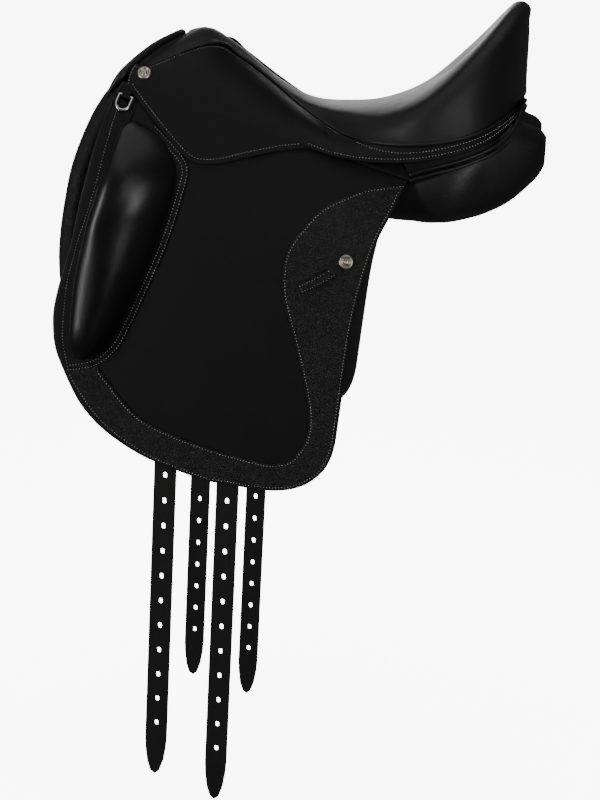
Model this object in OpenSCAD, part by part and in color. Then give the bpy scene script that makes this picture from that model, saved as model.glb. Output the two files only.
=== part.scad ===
// Dressage saddle. X runs back along the horse, Y to the right, Z up.
// The girth straps hang along Z. The origin lies under the seat, where
// the saddle rests on the back.

/* [Seat] */
// height of the pommel top over the origin
pommel_z = 178; // [165:1:190]
// height of the lowest point of the seat
waist_z = 103; // [96:1:110]
// height of the cantle top
cantle_z = 226; // [210:1:235]
// largest half width of the seat
seat_half_w = 148; // [140:1:154]
// thickness of the seat leather
cover_t = 2.5; // [2:0.1:3.5]
// thickness of the seat foam
foam_t = 22; // [16:1:24]
// thickness of the tree shell
tree_t = 9; // [7:0.5:10]

/* [Flaps] */
// pitch of the fold line that a flap lifts about
fold_pitch = 15.2; // [14:0.1:16.5]
// yaw of the flap plane
fold_yaw = 5; // [3:0.5:6]
// half width over the folds, at the front end
fold_y = 121; // [118:1:126]
// height of the front end of the fold
fold_z = 120; // [118:0.5:123]
// how far the flap stands out below the fold
flare = 45; // [40:1:50]
// drop over which the flap turns upright
flare_d = 120; // [110:1:130]
// thickness of the flap
flap_t = 4.5; // [3.5:0.1:5]
// thickness of the skirt
skirt_t = 3; // [2.4:0.1:3.2]
// height of the knee block over the flap
block_h = 40; // [28:1:48]

/* [Girth straps] */
// strap width
billet_w = 25; // [22:0.5:28]
// strap thickness
billet_t = 4.5; // [3.5:0.1:5]
// spacing of the holes
hole_pitch = 30; // [26:0.5:32]
// width of an oblong hole
hole_w = 4.6; // [4:0.1:5.5]
// length of an oblong hole
hole_l = 7.6; // [7:0.1:9]
// number of holes in a strap
hole_n = 12; // [8:1:14]

/* [Metal parts] */
// wire radius of the dee
dee_r = 1.6; // [1.3:0.1:1.9]
// radius of the nail and stud heads
nail_r = 8.3; // [7:0.1:9.5]
// gap between a stirrup bar and its plate
bar_gap = 9; // [8:0.5:10]

/* [Hidden] */
$fn = 24;
fit = 0.3;

// Curve through points, u from 0 to 1.
function spline(p0, p1, p2, p3, t) = 0.5 * (2 * p1 + (p2 - p0) * t
    + (2 * p0 - 5 * p1 + 4 * p2 - p3) * t * t + (3 * p1 - p0 - 3 * p2 + p3) * t * t * t);
function along(p, u) = let (n = len(p) - 1, k = min(floor(u * n), n - 1))
    spline(p[max(k - 1, 0)], p[k], p[k + 1], p[min(k + 2, n)], u * n - k);
function unit(v) = v / norm(v);
function flip(p) = [p[0], -p[1], p[2]];

// Guide curves of the seat, half loop from the pommel to the cantle:
// the spine on the mid-plane, the rim and the seam under it.
rise = pommel_z - 178;
dip = waist_z - 103;
top = cantle_z - 226;
wide = seat_half_w / 148;
SPINE = [[-146, 0, 176 + rise], [-140, 0, 178 + rise], [-128, 0, 175 + rise], [-97, 0, 154.5],
    [-60, 0, 128], [-20, 0, 107.5 + dip], [22, 0, 103 + dip], [66, 0, 110.5 + dip],
    [104, 0, 125 + dip], [134, 0, 143], [150, 0, 156], [156, 0, 162]];
RIM = [[-158, 0, 170 + rise], [-160, 44, 165 + rise], [-132, 40, 172 + rise], [-98, 24, 154],
    [-60, 23, 127], [-20, 38, 105 + dip], [24, 76, 99 + dip], [70, 108 * wide, 102 + dip],
    [118, 126 * wide, 124], [168, 106 * wide, 173], [203, 57, 213 + top], [214, 0, 226.5 + top]];
SEAM = [[-168, 0, 160], [-196, 98, 139], [-128, 58, 166], [-98, 38, 152.5],
    [-60, 37, 125], [-22, 56, 98.5], [26, 100, 77], [72, 136 * wide, 73],
    [124, 148 * wide, 77], [176, 134 * wide, 91], [211, 82, 112], [224, 0, 128]];
HALF = 22;
LOOP = 2 * HALF;
RAYS = 7;
RIM_RAY = 4;

// A guide point sunk a distance t towards the inside of the seat.
function sink(p, s, t) = p + t * unit(along(SPINE, s) - [0, 0, 60] - p);
function seat_half(s, j, t) = let (a = sink(along(SPINE, s), s, t), r = sink(along(RIM, s), s, t),
    e = sink(along(SEAM, s), s, t))
    j <= RIM_RAY ? spline(flip(r), a, r, e, j / RIM_RAY)
    : spline(a, r, e, 2 * e - r, (j - RIM_RAY) / (RAYS - RIM_RAY));
function seat_pt(i, j, t) = let (k = i % LOOP)
    k <= HALF ? seat_half(k / HALF, j, t) : flip(seat_half((LOOP - k) / HALF, j, t));

function quad(a, b, c, d) = [[a, b, c], [a, c, d]];
function flat(list) = [for (a = list) for (b = a) b];

// Solid between two grids of points, outer and inner, rows by columns.
module slab(outer, inner) {
    m = len(outer);
    n = len(outer[0]);
    o = m * n;
    faces = flat(concat(
        [for (i = [0 : m - 2]) for (j = [0 : n - 2])
            quad(i * n + j, i * n + j + 1, (i + 1) * n + j + 1, (i + 1) * n + j)],
        [for (i = [0 : m - 2]) for (j = [0 : n - 2])
            quad(o + i * n + j, o + (i + 1) * n + j, o + (i + 1) * n + j + 1, o + i * n + j + 1)],
        [for (i = [0 : m - 2]) quad(i * n, (i + 1) * n, o + (i + 1) * n, o + i * n)],
        [for (i = [0 : m - 2]) quad(i * n + n - 1, o + i * n + n - 1,
            o + (i + 1) * n + n - 1, (i + 1) * n + n - 1)],
        [for (j = [0 : n - 2]) quad(j, o + j, o + j + 1, j + 1)],
        [for (j = [0 : n - 2]) quad(o - n + j, o - n + j + 1, 2 * o - n + j + 1, 2 * o - n + j)]));
    polyhedron(concat(flat(outer), flat(inner)), faces, convexity = 6);
}

// Layer of the whole seat between two depths, from the spine out to ray j1.
module seat_layer(t0, t1, j1) {
    half = HALF + 1;
    size = half + LOOP * j1;
    function id(i, j) = let (k = i % LOOP) j == 0 ? min(k, LOOP - k) : half + k * j1 + j - 1;
    function layer(t) = concat([for (i = [0 : HALF]) seat_pt(i, 0, t)],
        [for (i = [0 : LOOP - 1]) for (j = [1 : j1]) seat_pt(i, j, t)]);
    cells = [for (i = [0 : LOOP - 1]) for (j = [0 : j1 - 1]) [i, j]];
    function cell(i, j, o, up) = let (a = id(i, j), b = id(i, j + 1), c = id(i + 1, j + 1), d = id(i + 1, j))
        let (q = up ? [[a, b, c], [a, c, d]] : [[a, c, b], [a, d, c]])
        [for (f = q) if (f[0] != f[1] && f[1] != f[2] && f[0] != f[2]) f + [o, o, o]];
    faces = flat(concat([for (c = cells) cell(c[0], c[1], 0, false)],
        [for (c = cells) cell(c[0], c[1], size, true)],
        [for (i = [0 : LOOP - 1]) quad(id(i, j1), id(i + 1, j1), size + id(i + 1, j1), size + id(i, j1))]));
    polyhedron(concat(layer(t0), layer(t1)), faces, convexity = 6);
}

// Ring of the seat between two depths and two rays.
module seat_ring(t0, t1, j0, j1) {
    outer = [for (i = [0 : LOOP]) [for (j = [j0 : j1]) seat_pt(i, j, t0)]];
    inner = [for (i = [0 : LOOP]) [for (j = [j0 : j1]) seat_pt(i, j, t1)]];
    n = j1 - j0 + 1;
    o = LOOP * n;
    function id(i, j) = (i % LOOP) * n + j;
    faces = flat(concat(
        [for (i = [0 : LOOP - 1]) for (j = [0 : n - 2])
            quad(id(i, j), id(i, j + 1), id(i + 1, j + 1), id(i + 1, j))],
        [for (i = [0 : LOOP - 1]) for (j = [0 : n - 2])
            quad(o + id(i, j), o + id(i + 1, j), o + id(i + 1, j + 1), o + id(i, j + 1))],
        [for (i = [0 : LOOP - 1]) quad(id(i, 0), id(i + 1, 0), o + id(i + 1, 0), o + id(i, 0))],
        [for (i = [0 : LOOP - 1]) quad(id(i, n - 1), o + id(i, n - 1), o + id(i + 1, n - 1), id(i + 1, n - 1))]));
    polyhedron(concat(flat([for (i = [0 : LOOP - 1]) outer[i]]), flat([for (i = [0 : LOOP - 1]) inner[i]])),
        faces, convexity = 6);
}

foam_0 = cover_t + fit;
web_0 = foam_0 + foam_t + fit;
tree_0 = web_0 + 2 + fit;

module seat_cover() color("#1d1b1b") seat_layer(0, cover_t, RAYS);
module seat_foam() color("#c9b27a") seat_layer(foam_0, foam_0 + foam_t, RAYS);
module seat_web() color("#b8a888") seat_layer(web_0, web_0 + 2, RIM_RAY);

// Head arch of the tree, u from the mid-plane to a point tip, sunk by t.
ARCH = [[0, 137], [40, 133], [72, 118], [94, 92], [108, 64], [119, 32]];
ARCH_F = [[-176], [-182], [-192], [-192], [-186], [-178]];
ARCH_R = [[-142], [-144], [-128], [-108], [-126], [-150]];
function arch_pt(u, c, t) = let (a = along(ARCH, abs(u)), f = along(ARCH_F, abs(u))[0], r = along(ARCH_R, abs(u))[0],
    d = unit([0, 50] - a), p = a + t * d) [f + (r - f) * c, u < 0 ? -p[0] : p[0], p[1]];
module arch(u0, u1, c0, c1, t0, t1) slab(
    [for (u = [u0 : 0.1 : u1 + 0.01]) [for (c = [c1, c0]) arch_pt(u, c, t0)]],
    [for (u = [u0 : 0.1 : u1 + 0.01]) [for (c = [c1, c0]) arch_pt(u, c, t1)]]);

bar_x = -170;
bar_z = 101;
bed_y = 89;
module both() {
    children();
    mirror([0, 1, 0]) children();
}
module tree() color("#8a6a44") {
    difference() {
        union() {
            seat_ring(tree_0, tree_0 + tree_t, 3, RAYS);
            arch(-1, 1, 0, 1, 0, 9);
            both() translate([bar_x, 58, bar_z]) cube([58, bed_y - 58, 15]);
        }
        both() for (x = [8, 50]) translate([bar_x + x, 70, bar_z + 7.5])
            rotate([-90, 0, 0]) cylinder(r = 2.7, h = 30);
    }
}
module head_plate() color("#6f7378") arch(-0.6, 0.6, 0.04, 0.26, 9 + fit, 12);
module tree_springs() color("#5d6166") both() slab(
    [for (i = [6 : 16]) [for (j = [5, 6]) seat_pt(i, j, tree_0 + tree_t + fit)]],
    [for (i = [6 : 16]) [for (j = [5, 6]) seat_pt(i, j, tree_0 + tree_t + 2)]]);

// Stirrup bar: plate on the tree, a foot at the front, the bar open at the back.
module stirrup_bar() difference() {
    translate([bar_x + 2, bed_y + fit, bar_z]) {
        cube([56, 3, 15]);
        cube([9, 3 + bar_gap + 6, 15]);
        translate([0, 3 + bar_gap, 2]) cube([52, 6, 11]);
        translate([52, 3 + bar_gap, 7.5]) rotate([-90, 0, 0]) cylinder(r = 5.5, h = 6);
    }
    for (x = [8, 50]) translate([bar_x + x, 80, bar_z + 7.5]) rotate([-90, 0, 0]) cylinder(r = 2.7, h = 40);
}
module bar_rivets() color("#9aa0a6") both() for (x = [8, 50]) translate([bar_x + x, 0, bar_z + 7.5]) {
    translate([0, 74, 0]) rotate([-90, 0, 0]) cylinder(r = 2.5, h = bed_y + 3.6 - 74);
    if (x > 10) translate([0, bed_y + 3 + 2 * fit, 0]) rotate([-90, 0, 0]) cylinder(r = 4.2, h = 1.6);
}
module stirrup_bar_left() color("#8d9297") mirror([0, 1, 0]) stirrup_bar();
module stirrup_bar_right() color("#8d9297") stirrup_bar();

// Frame of the fold line: X along it, Y outwards, Z up.
fold_x = -207;
E1 = [cos(fold_pitch) * cos(fold_yaw), cos(fold_pitch) * sin(fold_yaw), -sin(fold_pitch)];
E3 = [sin(fold_pitch) * cos(fold_yaw), sin(fold_pitch) * sin(fold_yaw), cos(fold_pitch)];
function fold_line_z(x) = fold_z - (x - fold_x) * tan(fold_pitch) / cos(fold_yaw);
function fold_line_y(x) = fold_y + (x - fold_x) * tan(fold_yaw);
function bulge(d) = flare * sin(90 * max(-0.5, min(d / flare_d, 1)));
function side_y(x, z) = fold_line_y(x) + bulge((fold_line_z(x) - z) * cos(fold_pitch));
function loc(p) = let (w = [p[0] - fold_x, side_y(p[0], p[1]) - fold_y, p[1] - fold_z]) [w * E1, w * E3];
module on_fold() translate([fold_x, fold_y, fold_z]) rotate([0, fold_pitch, fold_yaw]) children();

// Bent sheet on the fold: an outline in side view, between two depths.
BEND = [-24, -12, 0, 12, 24, 36, 48, 60, 72, 84, 96, 108, 120, 430];
function bent(o) = [for (d = BEND) [bulge(d * flare_d / 120) - o, d < 130 ? -d * flare_d / 120 : -d]];
module sheet(pts, o0, o1) on_fold() intersection() {
    translate([0, 160, 0]) rotate([90, 0, 0]) linear_extrude(260) polygon(pts);
    rotate([90, 0, 90]) translate([0, 0, -120]) linear_extrude(520)
        polygon(concat(bent(o0), [for (k = [len(BEND) - 1 : -1 : 0]) bent(o1)[k]]));
}
function curve(p, n) = [for (k = [0 : n - 1]) along(p, k / n)];
function side_curve(p, n) = [for (q = curve(p, n)) loc(q)];
function below(q, gap) = [q[0], min(q[1], -gap)];

FLAP_F = [[-204, 126], [-216, 90], [-226, 56], [-235, 23], [-248, -10], [-261, -50], [-272, -78], [-278, -108],
    [-281, -137], [-278, -170], [-267, -198], [-250, -230], [-231, -252], [-209, -269], [-184, -283],
    [-159, -293], [-105, -308], [-73, -311], [-47, -313]];
FLAP_R = [[-47, -313], [-27, -313], [-7, -310], [12, -302], [28, -288], [37, -273], [42, -254], [45, -221],
    [52, -137], [58, -94], [67, -53], [76, -23], [87, 1], [102, 39], [103, 49]];
flap_o = skirt_t + 0.5;
FLAP = [for (q = concat(side_curve(FLAP_F, 27), side_curve(FLAP_R, 26), [loc([103, 46])])) below(q, 0.6)];
module flap() difference() {
    sheet(FLAP, flap_o, flap_o + flap_t);
    stud_axis() cylinder(r = 2.3, h = 60, center = true);
}

// Grained facing along the back, the bottom and the front edge of the flap.
GRAIN = [[97, 33], [80, 30], [56, 25], [38, 17], [20, 8], [6, -3], [-9, -22], [-18, -36], [-24, -52], [-25, -69],
    [-24, -89], [-19, -109], [-9, -140], [-1, -167], [6, -193], [11, -217], [12, -237], [9, -253], [0, -268],
    [-9, -277], [-29, -282], [-49, -280], [-85, -274], [-125, -264], [-166, -250], [-197, -233], [-215, -213],
    [-236, -196], [-260, -180]];
EDGE = [[-272, -168], [-262, -190], [-246, -226], [-228, -248], [-207, -265], [-182, -280], [-158, -291],
    [-105, -306], [-73, -309], [-47, -311], [-27, -311], [-7, -308], [11, -300], [26.5, -287], [35, -272],
    [40, -254], [43, -221], [50, -137], [56, -94], [65, -53], [74, -23], [85, 1], [98, 31]];
face_o = flap_o - fit;
module facing() difference() {
    sheet([for (q = concat(side_curve(EDGE, 30), side_curve([for (k = [0 : 28]) GRAIN[k]], 34),
        [loc([-260, -180])])) below(q, 2)], face_o - 1.5, face_o);
    stud_axis() cylinder(r = 2.3, h = 60, center = true);
}

// Knee block, standing on a stitched base.
BLOCK_L = [[-199, 85], [-213, 68], [-222, 29], [-232, -13], [-244, -60], [-252, -113], [-253, -160], [-246, -180]];
BLOCK_R = [[-186, 82], [-160, 62], [-142, 40], [-145, 10], [-158, -38], [-180, -95], [-206, -155], [-238, -183]];
base_t = 2;
module block_base() sheet(concat(side_curve(concat(BLOCK_L, [[-238, -184]]), 20),
    [for (k = [0 : 18]) loc(along([for (i = [7 : -1 : 0]) BLOCK_R[i] + [6, -2]], k / 18))]), face_o - base_t, face_o);
function block_row(u, c) = let (a = along(BLOCK_L, u) + [3, 0], b = along(BLOCK_R, u) - [4, 0]) a + (b - a) * c;
BLOCK_C = [[0, 0.25], [0.04, 0.88], [0.13, 1], [0.32, 0.86], [0.56, 0.5], [0.78, 0.2], [1, 0.05]];
block_o = face_o - base_t - fit;
module knee_block() {
    rows = [for (k = [0 : 14]) 0.02 + 0.96 * k / 14];
    function at(q, o) = [q[0], side_y(q[0], q[1]) - o, q[1]];
    function h(u) = 3 + (block_h - 3) * pow(sin(180 * pow(u, 0.8)), 0.7);
    slab([for (u = rows) [for (c = BLOCK_C) at(block_row(u, c[0]), block_o - 0.7 - h(u) * c[1])]],
        [for (u = rows) [for (c = BLOCK_C) at(block_row(u, c[0]), block_o - 0.7)]]);
}

// Strap keeper: a low bridge sewn to the flap at its two ends.
keep_at = loc([15.5, -70.5]);
module keeper() on_fold() translate([keep_at[0], flare - face_o + 1.5 + fit, keep_at[1]])
    rotate([0, -32 - fold_pitch, 0]) linear_extrude(9, center = true)
        polygon([[-25, 0], [-25, 2], [-15, 2], [-12, 5], [12, 5], [15, 2], [25, 2], [25, 0],
            [16, 0], [13, 3], [-13, 3], [-16, 0]]);

stud_at = loc([43, -50]);
module stud_axis() on_fold() translate([stud_at[0], bulge(-stud_at[1]) - flap_o, stud_at[1]])
    rotate([-90, 0, 0]) rotate([8, 0, 0]) children();
module stud() stud_axis() {
    translate([0, 0, -5]) cylinder(r = 2, h = 8);
    translate([0, 0, 3]) cylinder(r1 = nail_r, r2 = nail_r - 1, h = 1.6);
    translate([0, 0, 4.6]) cylinder(r1 = nail_r * 0.6, r2 = nail_r * 0.45, h = 1.2);
}

// Dee on a leather tab at the top front corner of the flap.
dee_x = 1;
dee_d = 13;
dee_n = bulge(dee_d) - flap_o + dee_r + 2.6;
module at_dee() on_fold() translate([dee_x, dee_n, -dee_d]) children();
dee_lean = 31;
module dee_tab() at_dee() difference() {
    union() {
        rotate([0, 90, 0]) cylinder(r = dee_r + 1.6, h = 9, center = true);
        translate([-4.5, -dee_r - 1.6, 0]) cube([9, 2 * dee_r + 0.6, 6.2]);
    }
    rotate([0, 90, 0]) cylinder(r = dee_r + 0.15, h = 20, center = true);
    translate([0, -dee_n + bulge(0) - flap_o - 20 + 7, 7]) rotate([30, 0, 0]) translate([-10, -20, -9]) cube([20, 20, 30]);
}
module dee() at_dee() rotate([dee_lean, 0, 0]) {
    rotate([0, 90, 0]) cylinder(r = dee_r, h = 15, center = true);
    for (x = [-7.5, 7.5]) translate([x, 0, 0]) {
        sphere(r = dee_r);
        translate([0, 0, -9.5]) cylinder(r = dee_r, h = 9.5);
    }
    translate([0, 0, -9.5]) rotate([90, 0, 0]) rotate([0, 0, 180])
        rotate_extrude(angle = 180) translate([7.5, 0]) circle(dee_r);
}

// Skirt: the fixed upper part is lofted from the seam down, the tip lifts.
LOWER = [[-211, 0, 0], [-194, 0, 0], [-150, 0, 0], [-98, 0, 0], [-60, 0, 0], [-24, 0, 0], [24, 148, 60],
    [72, 153, 55], [124, 156, 61], [178, 144, 78], [214, 92, 103], [229, 0, 119]];
function lower(k) = let (p = LOWER[k]) p[1] > 0 || k == 11 ? p
    : [p[0], fold_line_y(p[0]) - 1.6, fold_line_z(p[0]) + 3.4];
LOW = [for (k = [0 : 11]) lower(k)];
front_s = 1 / 11;
function seam_edge(s) = let (p = along(SEAM, s)) p + 1.2 * unit(along(LOW, s) - p);
function upper(s) = s < front_s ? [-207, 99, 140] + (seam_edge(front_s) - [-207, 99, 140]) * s / front_s : seam_edge(s);
function hermite(a, b, u, v, q) = let (q2 = q * q, q3 = q * q * q)
    (2 * q3 - 3 * q2 + 1) * a + (q3 - 2 * q2 + q) * u + (3 * q2 - 2 * q3) * b + (q3 - q2) * v;
function skirt_pt(s, q, t) = let (a = upper(s), b = along(LOW, s), w = norm(b - a))
    hermite(a, b, w * unit(b - a + [0, 0.25 * w, 0.5 * w]), w * unit([0, flare * PI / 2 / flare_d, -1]), q)
    + t * unit([0, -a[1] - 10, -80]);
SKIRT_S = [for (k = [2 : 20]) k / 22];
module skirt() slab(
    [for (s = concat([0], SKIRT_S)) [for (q = [0 : 0.2 : 1.01]) skirt_pt(s, q, 0)]],
    [for (s = concat([0], SKIRT_S)) [for (q = [0 : 0.2 : 1.01]) skirt_pt(s, q, skirt_t)]]);
NAIL = skirt_pt(0.092, 0.32, 0);
module nail_axis() translate(NAIL) rotate([-40, 0, 0]) children();
module nail() nail_axis() {
    translate([0, 0, 1.4]) cylinder(r1 = nail_r, r2 = nail_r - 1, h = 1.8);
    translate([0, 0, 3]) cylinder(r1 = nail_r * 0.6, r2 = nail_r * 0.45, h = 1.2);
}
TIP = [[-211, 121], [-205, 112], [-184, 90], [-165, 71], [-147, 54], [-134, 45], [-119, 42], [-100, 44],
    [-73, 50], [-42, 59], [-14, 65]];
module skirt_tip() sheet([for (q = concat(side_curve(TIP, 24), [loc([-12, 66])])) below(q, 1.4)], 0, skirt_t);

// Fixed strip that carries the back of the flap from the tree.
hanger_t = 2.5;
module flap_hanger() {
    function edge(i, t) = seat_pt(i, RAYS, tree_0 + tree_t + t);
    function col(i, t) = let (a = edge(i, fit), x = a[0]) [[a[0], a[1] - 8, a[2] - fit - t], [x, a[1] + 9, 58 - t],
        [x - 4, fold_line_y(x) - flap_o - 1 - t, fold_line_z(x) + 1.5]];
    slab([for (i = [13 : 15]) col(i, 0)], [for (i = [13 : 15]) col(i, hanger_t)]);
}

// Girth side: sweat flap, webs, straps.
sweat_o = flap_o + flap_t + 16;
sweat_t = 2.5;
web_t = 2.3;
web_o = sweat_o - fit - web_t;
bore_r = 3.3;
SWEAT = [[-226, 72], [-240, 20], [-258, -50], [-266, -110], [-262, -160], [-235, -205], [-190, -235], [-120, -252],
    [-50, -256], [-5, -240], [10, -200], [12, -140], [14, -80], [12, -20], [-4, 22]];
SWEAT_OUT = [for (q = concat(side_curve(SWEAT, 28), [loc([-4, 22])])) below(q, 22)];
FRONT = [-149, -8];
REAR = [-77, -25];
billet_o = flap_o + flap_t + 9.2;
front_y = fold_line_y(FRONT[0]) + flare - billet_o;
rear_y = fold_line_y(REAR[0]) + flare - billet_o;
module rivet_bores(r) {
    translate([FRONT[0], 100, FRONT[1]]) rotate([-90, 0, 0]) cylinder(r = r, h = 100);
    translate([REAR[0], 100, REAR[1]]) rotate([-90, 0, 0]) cylinder(r = r, h = 100);
}
module sweat_flap() difference() {
    sheet(SWEAT_OUT, sweat_o, sweat_o + sweat_t);
    rivet_bores(bore_r);
}
module girth_web() difference() {
    sheet([for (q = [[-166, 58], [-166, -22], [-60, -44], [-60, 28]]) loc(q)], web_o, web_o + web_t);
    rivet_bores(bore_r);
}
module girth_rivet(p, y) translate([p[0], 0, p[1]]) rotate([-90, 0, 0]) {
    translate([0, 0, y - 12.5]) cylinder(r = 3, h = 15.4);
    translate([0, 0, y + billet_t / 2 + 0.4]) cylinder(r = 6.5, h = 1.6);
    translate([0, 0, y - billet_t / 2 - 1.9]) cylinder(r = 6.5, h = 1.5);
}
module girth_rivets() color("#b08d57") both() {
    girth_rivet(FRONT, front_y);
    girth_rivet(REAR, rear_y);
}
module billet(p, y, last) translate([p[0], y, p[1]]) {
    tip = last - 64 - p[1];
    w = billet_w / 2;
    rotate([90, 0, 0]) difference() {
        linear_extrude(billet_t, center = true) polygon(concat(
            [[-w, 9], [-w, tip + 46], [-w * 0.93, tip + 32], [-w * 0.74, tip + 16], [-w * 0.42, tip + 4]],
            [[0, tip], [w * 0.42, tip + 4], [w * 0.74, tip + 16], [w * 0.93, tip + 32], [w, tip + 46]],
            [[w, 9], [w * 0.7, 14], [-w * 0.7, 14]]));
        cylinder(r = 3.15, h = 20, center = true);
        for (k = [0 : hole_n - 1]) translate([0, last - p[1] + k * hole_pitch, 0]) {
            for (e = [-1, 1]) translate([0, e * (hole_l - hole_w) / 2, 0]) cylinder(r = hole_w / 2, h = 20, center = true);
            cube([hole_w, hole_l - hole_w, 20], center = true);
        }
    }
}

// Panels: a cushion lofted along X, a wing down the side, a bed for the tree point.
PANEL_X = [-192, -150, -80, 0, 80, 150, 205, 238, 249];
PANEL = [[[38, 104], [34, 88], [60, 40], [100, -6], [108, 12], [72, 78]],
    [[38, 102], [35, 84], [62, 34], [104, -14], [112, 4], [76, 72]],
    [[40, 86], [38, 62], [72, 18], [110, -20], [119, 4], [82, 58]],
    [[42, 66], [40, 36], [80, 2], [112, -20], [120, 6], [92, 48]],
    [[42, 56], [40, 20], [88, -10], [122, -6], [133, 24], [104, 50]],
    [[44, 64], [42, 28], [92, -10], [132, 0], [144, 46], [112, 62]],
    [[46, 90], [44, 46], [84, 9], [112, 22], [122, 72], [96, 93]],
    [[54, 91], [52, 64], [76, 36], [96, 50], [102, 82], [80, 97]],
    [[66, 77], [66, 62], [76, 53], [86, 60], [88, 75], [76, 81]]];
function panel_pt(k, a) = let (p = PANEL[k], i = floor(a), q = spline(p[(i + 5) % 6], p[i % 6], p[(i + 1) % 6],
    p[(i + 2) % 6], a - i)) [PANEL_X[k], q[0], q[1]];
module cushion() {
    n = 18;
    rows = [for (k = [0 : 24]) [for (j = [0 : n - 1])
        along([for (s = [0 : 8]) panel_pt(s, j * 6 / n)], k / 24)]];
    m = len(rows);
    faces = concat(flat([for (i = [0 : m - 2]) for (j = [0 : n - 1]) let (k = (j + 1) % n)
        quad(i * n + j, (i + 1) * n + j, (i + 1) * n + k, i * n + k)]),
        [for (j = [1 : n - 2]) [0, j, j + 1]],
        [for (j = [1 : n - 2]) [(m - 1) * n, (m - 1) * n + j + 1, (m - 1) * n + j]]);
    polyhedron(flat(rows), faces, convexity = 6);
}
WING = [[-214, 106], [-227, 119], [-244, 98], [-257, 67], [-269, 27], [-276, -12], [-280, -46], [-281, -80],
    [-276, -120], [-262, -155], [-230, -190], [-180, -215], [-110, -225], [-40, -215], [-10, -170], [-4, -100],
    [-2, -40], [-8, 10], [-30, 30]];
wing_o = sweat_o + sweat_t + fit;
module panel() difference() {
    union() {
        cushion();
        sheet([for (q = side_curve(WING, 34)) below(q, 16)], wing_o, wing_o + 7);
        arch(0.7, 1, 0.2, 0.9, 9 + fit, 26);
        translate([-90, 96, -6]) cube([40, 47, 8]);
    }
    rivet_bores(5);
}

module gullet_lining() {
    function edge(u, side, t) = let (p = along([for (s = [0 : 6]) panel_pt(s, 0)], u))
        [p[0], side * (p[1] - 0.6), p[2] + t];
    rows = [for (k = [0 : 14]) k / 14];
    color("#2a2625") slab([for (u = rows) [edge(u, -1, 2.4), edge(u, 1, 2.4)]],
        [for (u = rows) [edge(u, -1, 0.2), edge(u, 1, 0.2)]]);
}

// Leather facing under the cantle, from the tree to the panels.
module rear_facing() {
    low = [[126, 137, 48], [162, 136, 60], [200, 112, 90], [218, 66, 106], [224, 0, 108]];
    function down(i) = let (k = abs(i), p = along(low, 1 - k / 6)) i < 0 ? flip(p) : p;
    function up(i) = let (p = seat_pt(HALF - i, RAYS, 9)) [p[0], p[1], p[2] - 0.9];
    rows = [for (i = [-6 : 6]) i];
    color("#211f1f") slab([for (i = rows) [up(i), down(i)]],
        [for (i = rows) [for (p = [up(i), down(i)]) p + 2 * unit([120, 0, p[2]] - p)]]);
}

// Roll along the front edge of the pommel.
module tube(path, r, n) {
    m = len(path);
    function dir(i) = unit(path[min(i + 1, m - 1)] - path[max(i - 1, 0)]);
    function ring(i) = let (d = dir(i), a = unit(cross(d, [0.3, 0.2, 1])), b = cross(d, a))
        [for (k = [0 : n - 1]) path[i] + r * (cos(360 * k / n) * a + sin(360 * k / n) * b)];
    polyhedron(flat([for (i = [0 : m - 1]) ring(i)]), concat(
        flat([for (i = [0 : m - 2]) for (k = [0 : n - 1]) let (l = (k + 1) % n)
            quad(i * n + k, (i + 1) * n + k, (i + 1) * n + l, i * n + l)]),
        [for (k = [1 : n - 2]) [0, k, k + 1]],
        [for (k = [1 : n - 2]) [(m - 1) * n, (m - 1) * n + k + 1, (m - 1) * n + k]]), convexity = 6);
}
module pommel_roll() color("#232020") {
    front = [[-229, 107, 115], [-217, 106, 131], [-203, 78, 147], [-190, 48, 157.5], [-177, 24, 163.5], [-171, 0, 166.5]];
    path = [for (k = [0 : 10]) along(front, k / 10)];
    tube(concat(path, [for (k = [9 : -1 : 0]) flip(path[k])]), 5, 8);
}
// Piping on the seat seam and along the top of the panel at the back.
module seat_welt() color("#191717") both()
    tube([for (k = [3 : 20]) let (p = seat_half(k / 22, RAYS, 0), d = unit(along(LOW, k / 22) - p)) p - 1.2 * d
        + 3.4 * unit(p - along(SPINE, k / 22) + [0, 0, 60])], 1.8, 6);
module panel_piping() color("#191717") both()
    tube([for (k = [15 : 22]) let (p = along([for (s = [0 : 8]) panel_pt(s, 4)], k / 24)) p + 3.2 * unit([0, 1, 0.5])], 2.5, 6);

module left() mirror([0, 1, 0]) children();
SMOOTH = "#1f1d1d";
GRAINED = "#262323";
module skirt_left() color(SMOOTH) left() skirt();
module skirt_right() color(SMOOTH) skirt();
module skirt_nails() color("#b9b4a8") both() nail();
module flap_hanger_left() color(SMOOTH) left() flap_hanger();
module flap_hanger_right() color(SMOOTH) flap_hanger();
module panel_left() color(GRAINED) left() panel();
module panel_right() color(GRAINED) panel();
module sweat_flap_left() color(GRAINED) left() sweat_flap();
module sweat_flap_right() color(GRAINED) sweat_flap();
module girth_web_left() color("#b8a888") left() girth_web();
module girth_web_right() color("#b8a888") girth_web();
module flap_left() color(SMOOTH) left() flap();
module flap_right() color(SMOOTH) flap();
module facing_left() color(GRAINED) left() facing();
module facing_right() color(GRAINED) facing();
module block_base_left() color(GRAINED) left() block_base();
module block_base_right() color(GRAINED) block_base();
module knee_block_left() color(SMOOTH) left() knee_block();
module knee_block_right() color(SMOOTH) knee_block();
module keeper_left() color(GRAINED) left() keeper();
module keeper_right() color(GRAINED) keeper();
module stud_left() color("#b9b4a8") left() stud();
module stud_right() color("#b9b4a8") stud();
module dee_tab_left() color(GRAINED) left() dee_tab();
module dee_tab_right() color(GRAINED) dee_tab();
module dee_left() color("#c4c7cb") left() dee();
module dee_right() color("#c4c7cb") dee();
module skirt_tip_left() color(SMOOTH) left() skirt_tip();
module skirt_tip_right() color(SMOOTH) skirt_tip();
module billet_front_left() color("#1b1a1a") left() billet(FRONT, front_y, -611);
module billet_front_right() color("#1b1a1a") billet(FRONT, front_y, -611);
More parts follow.
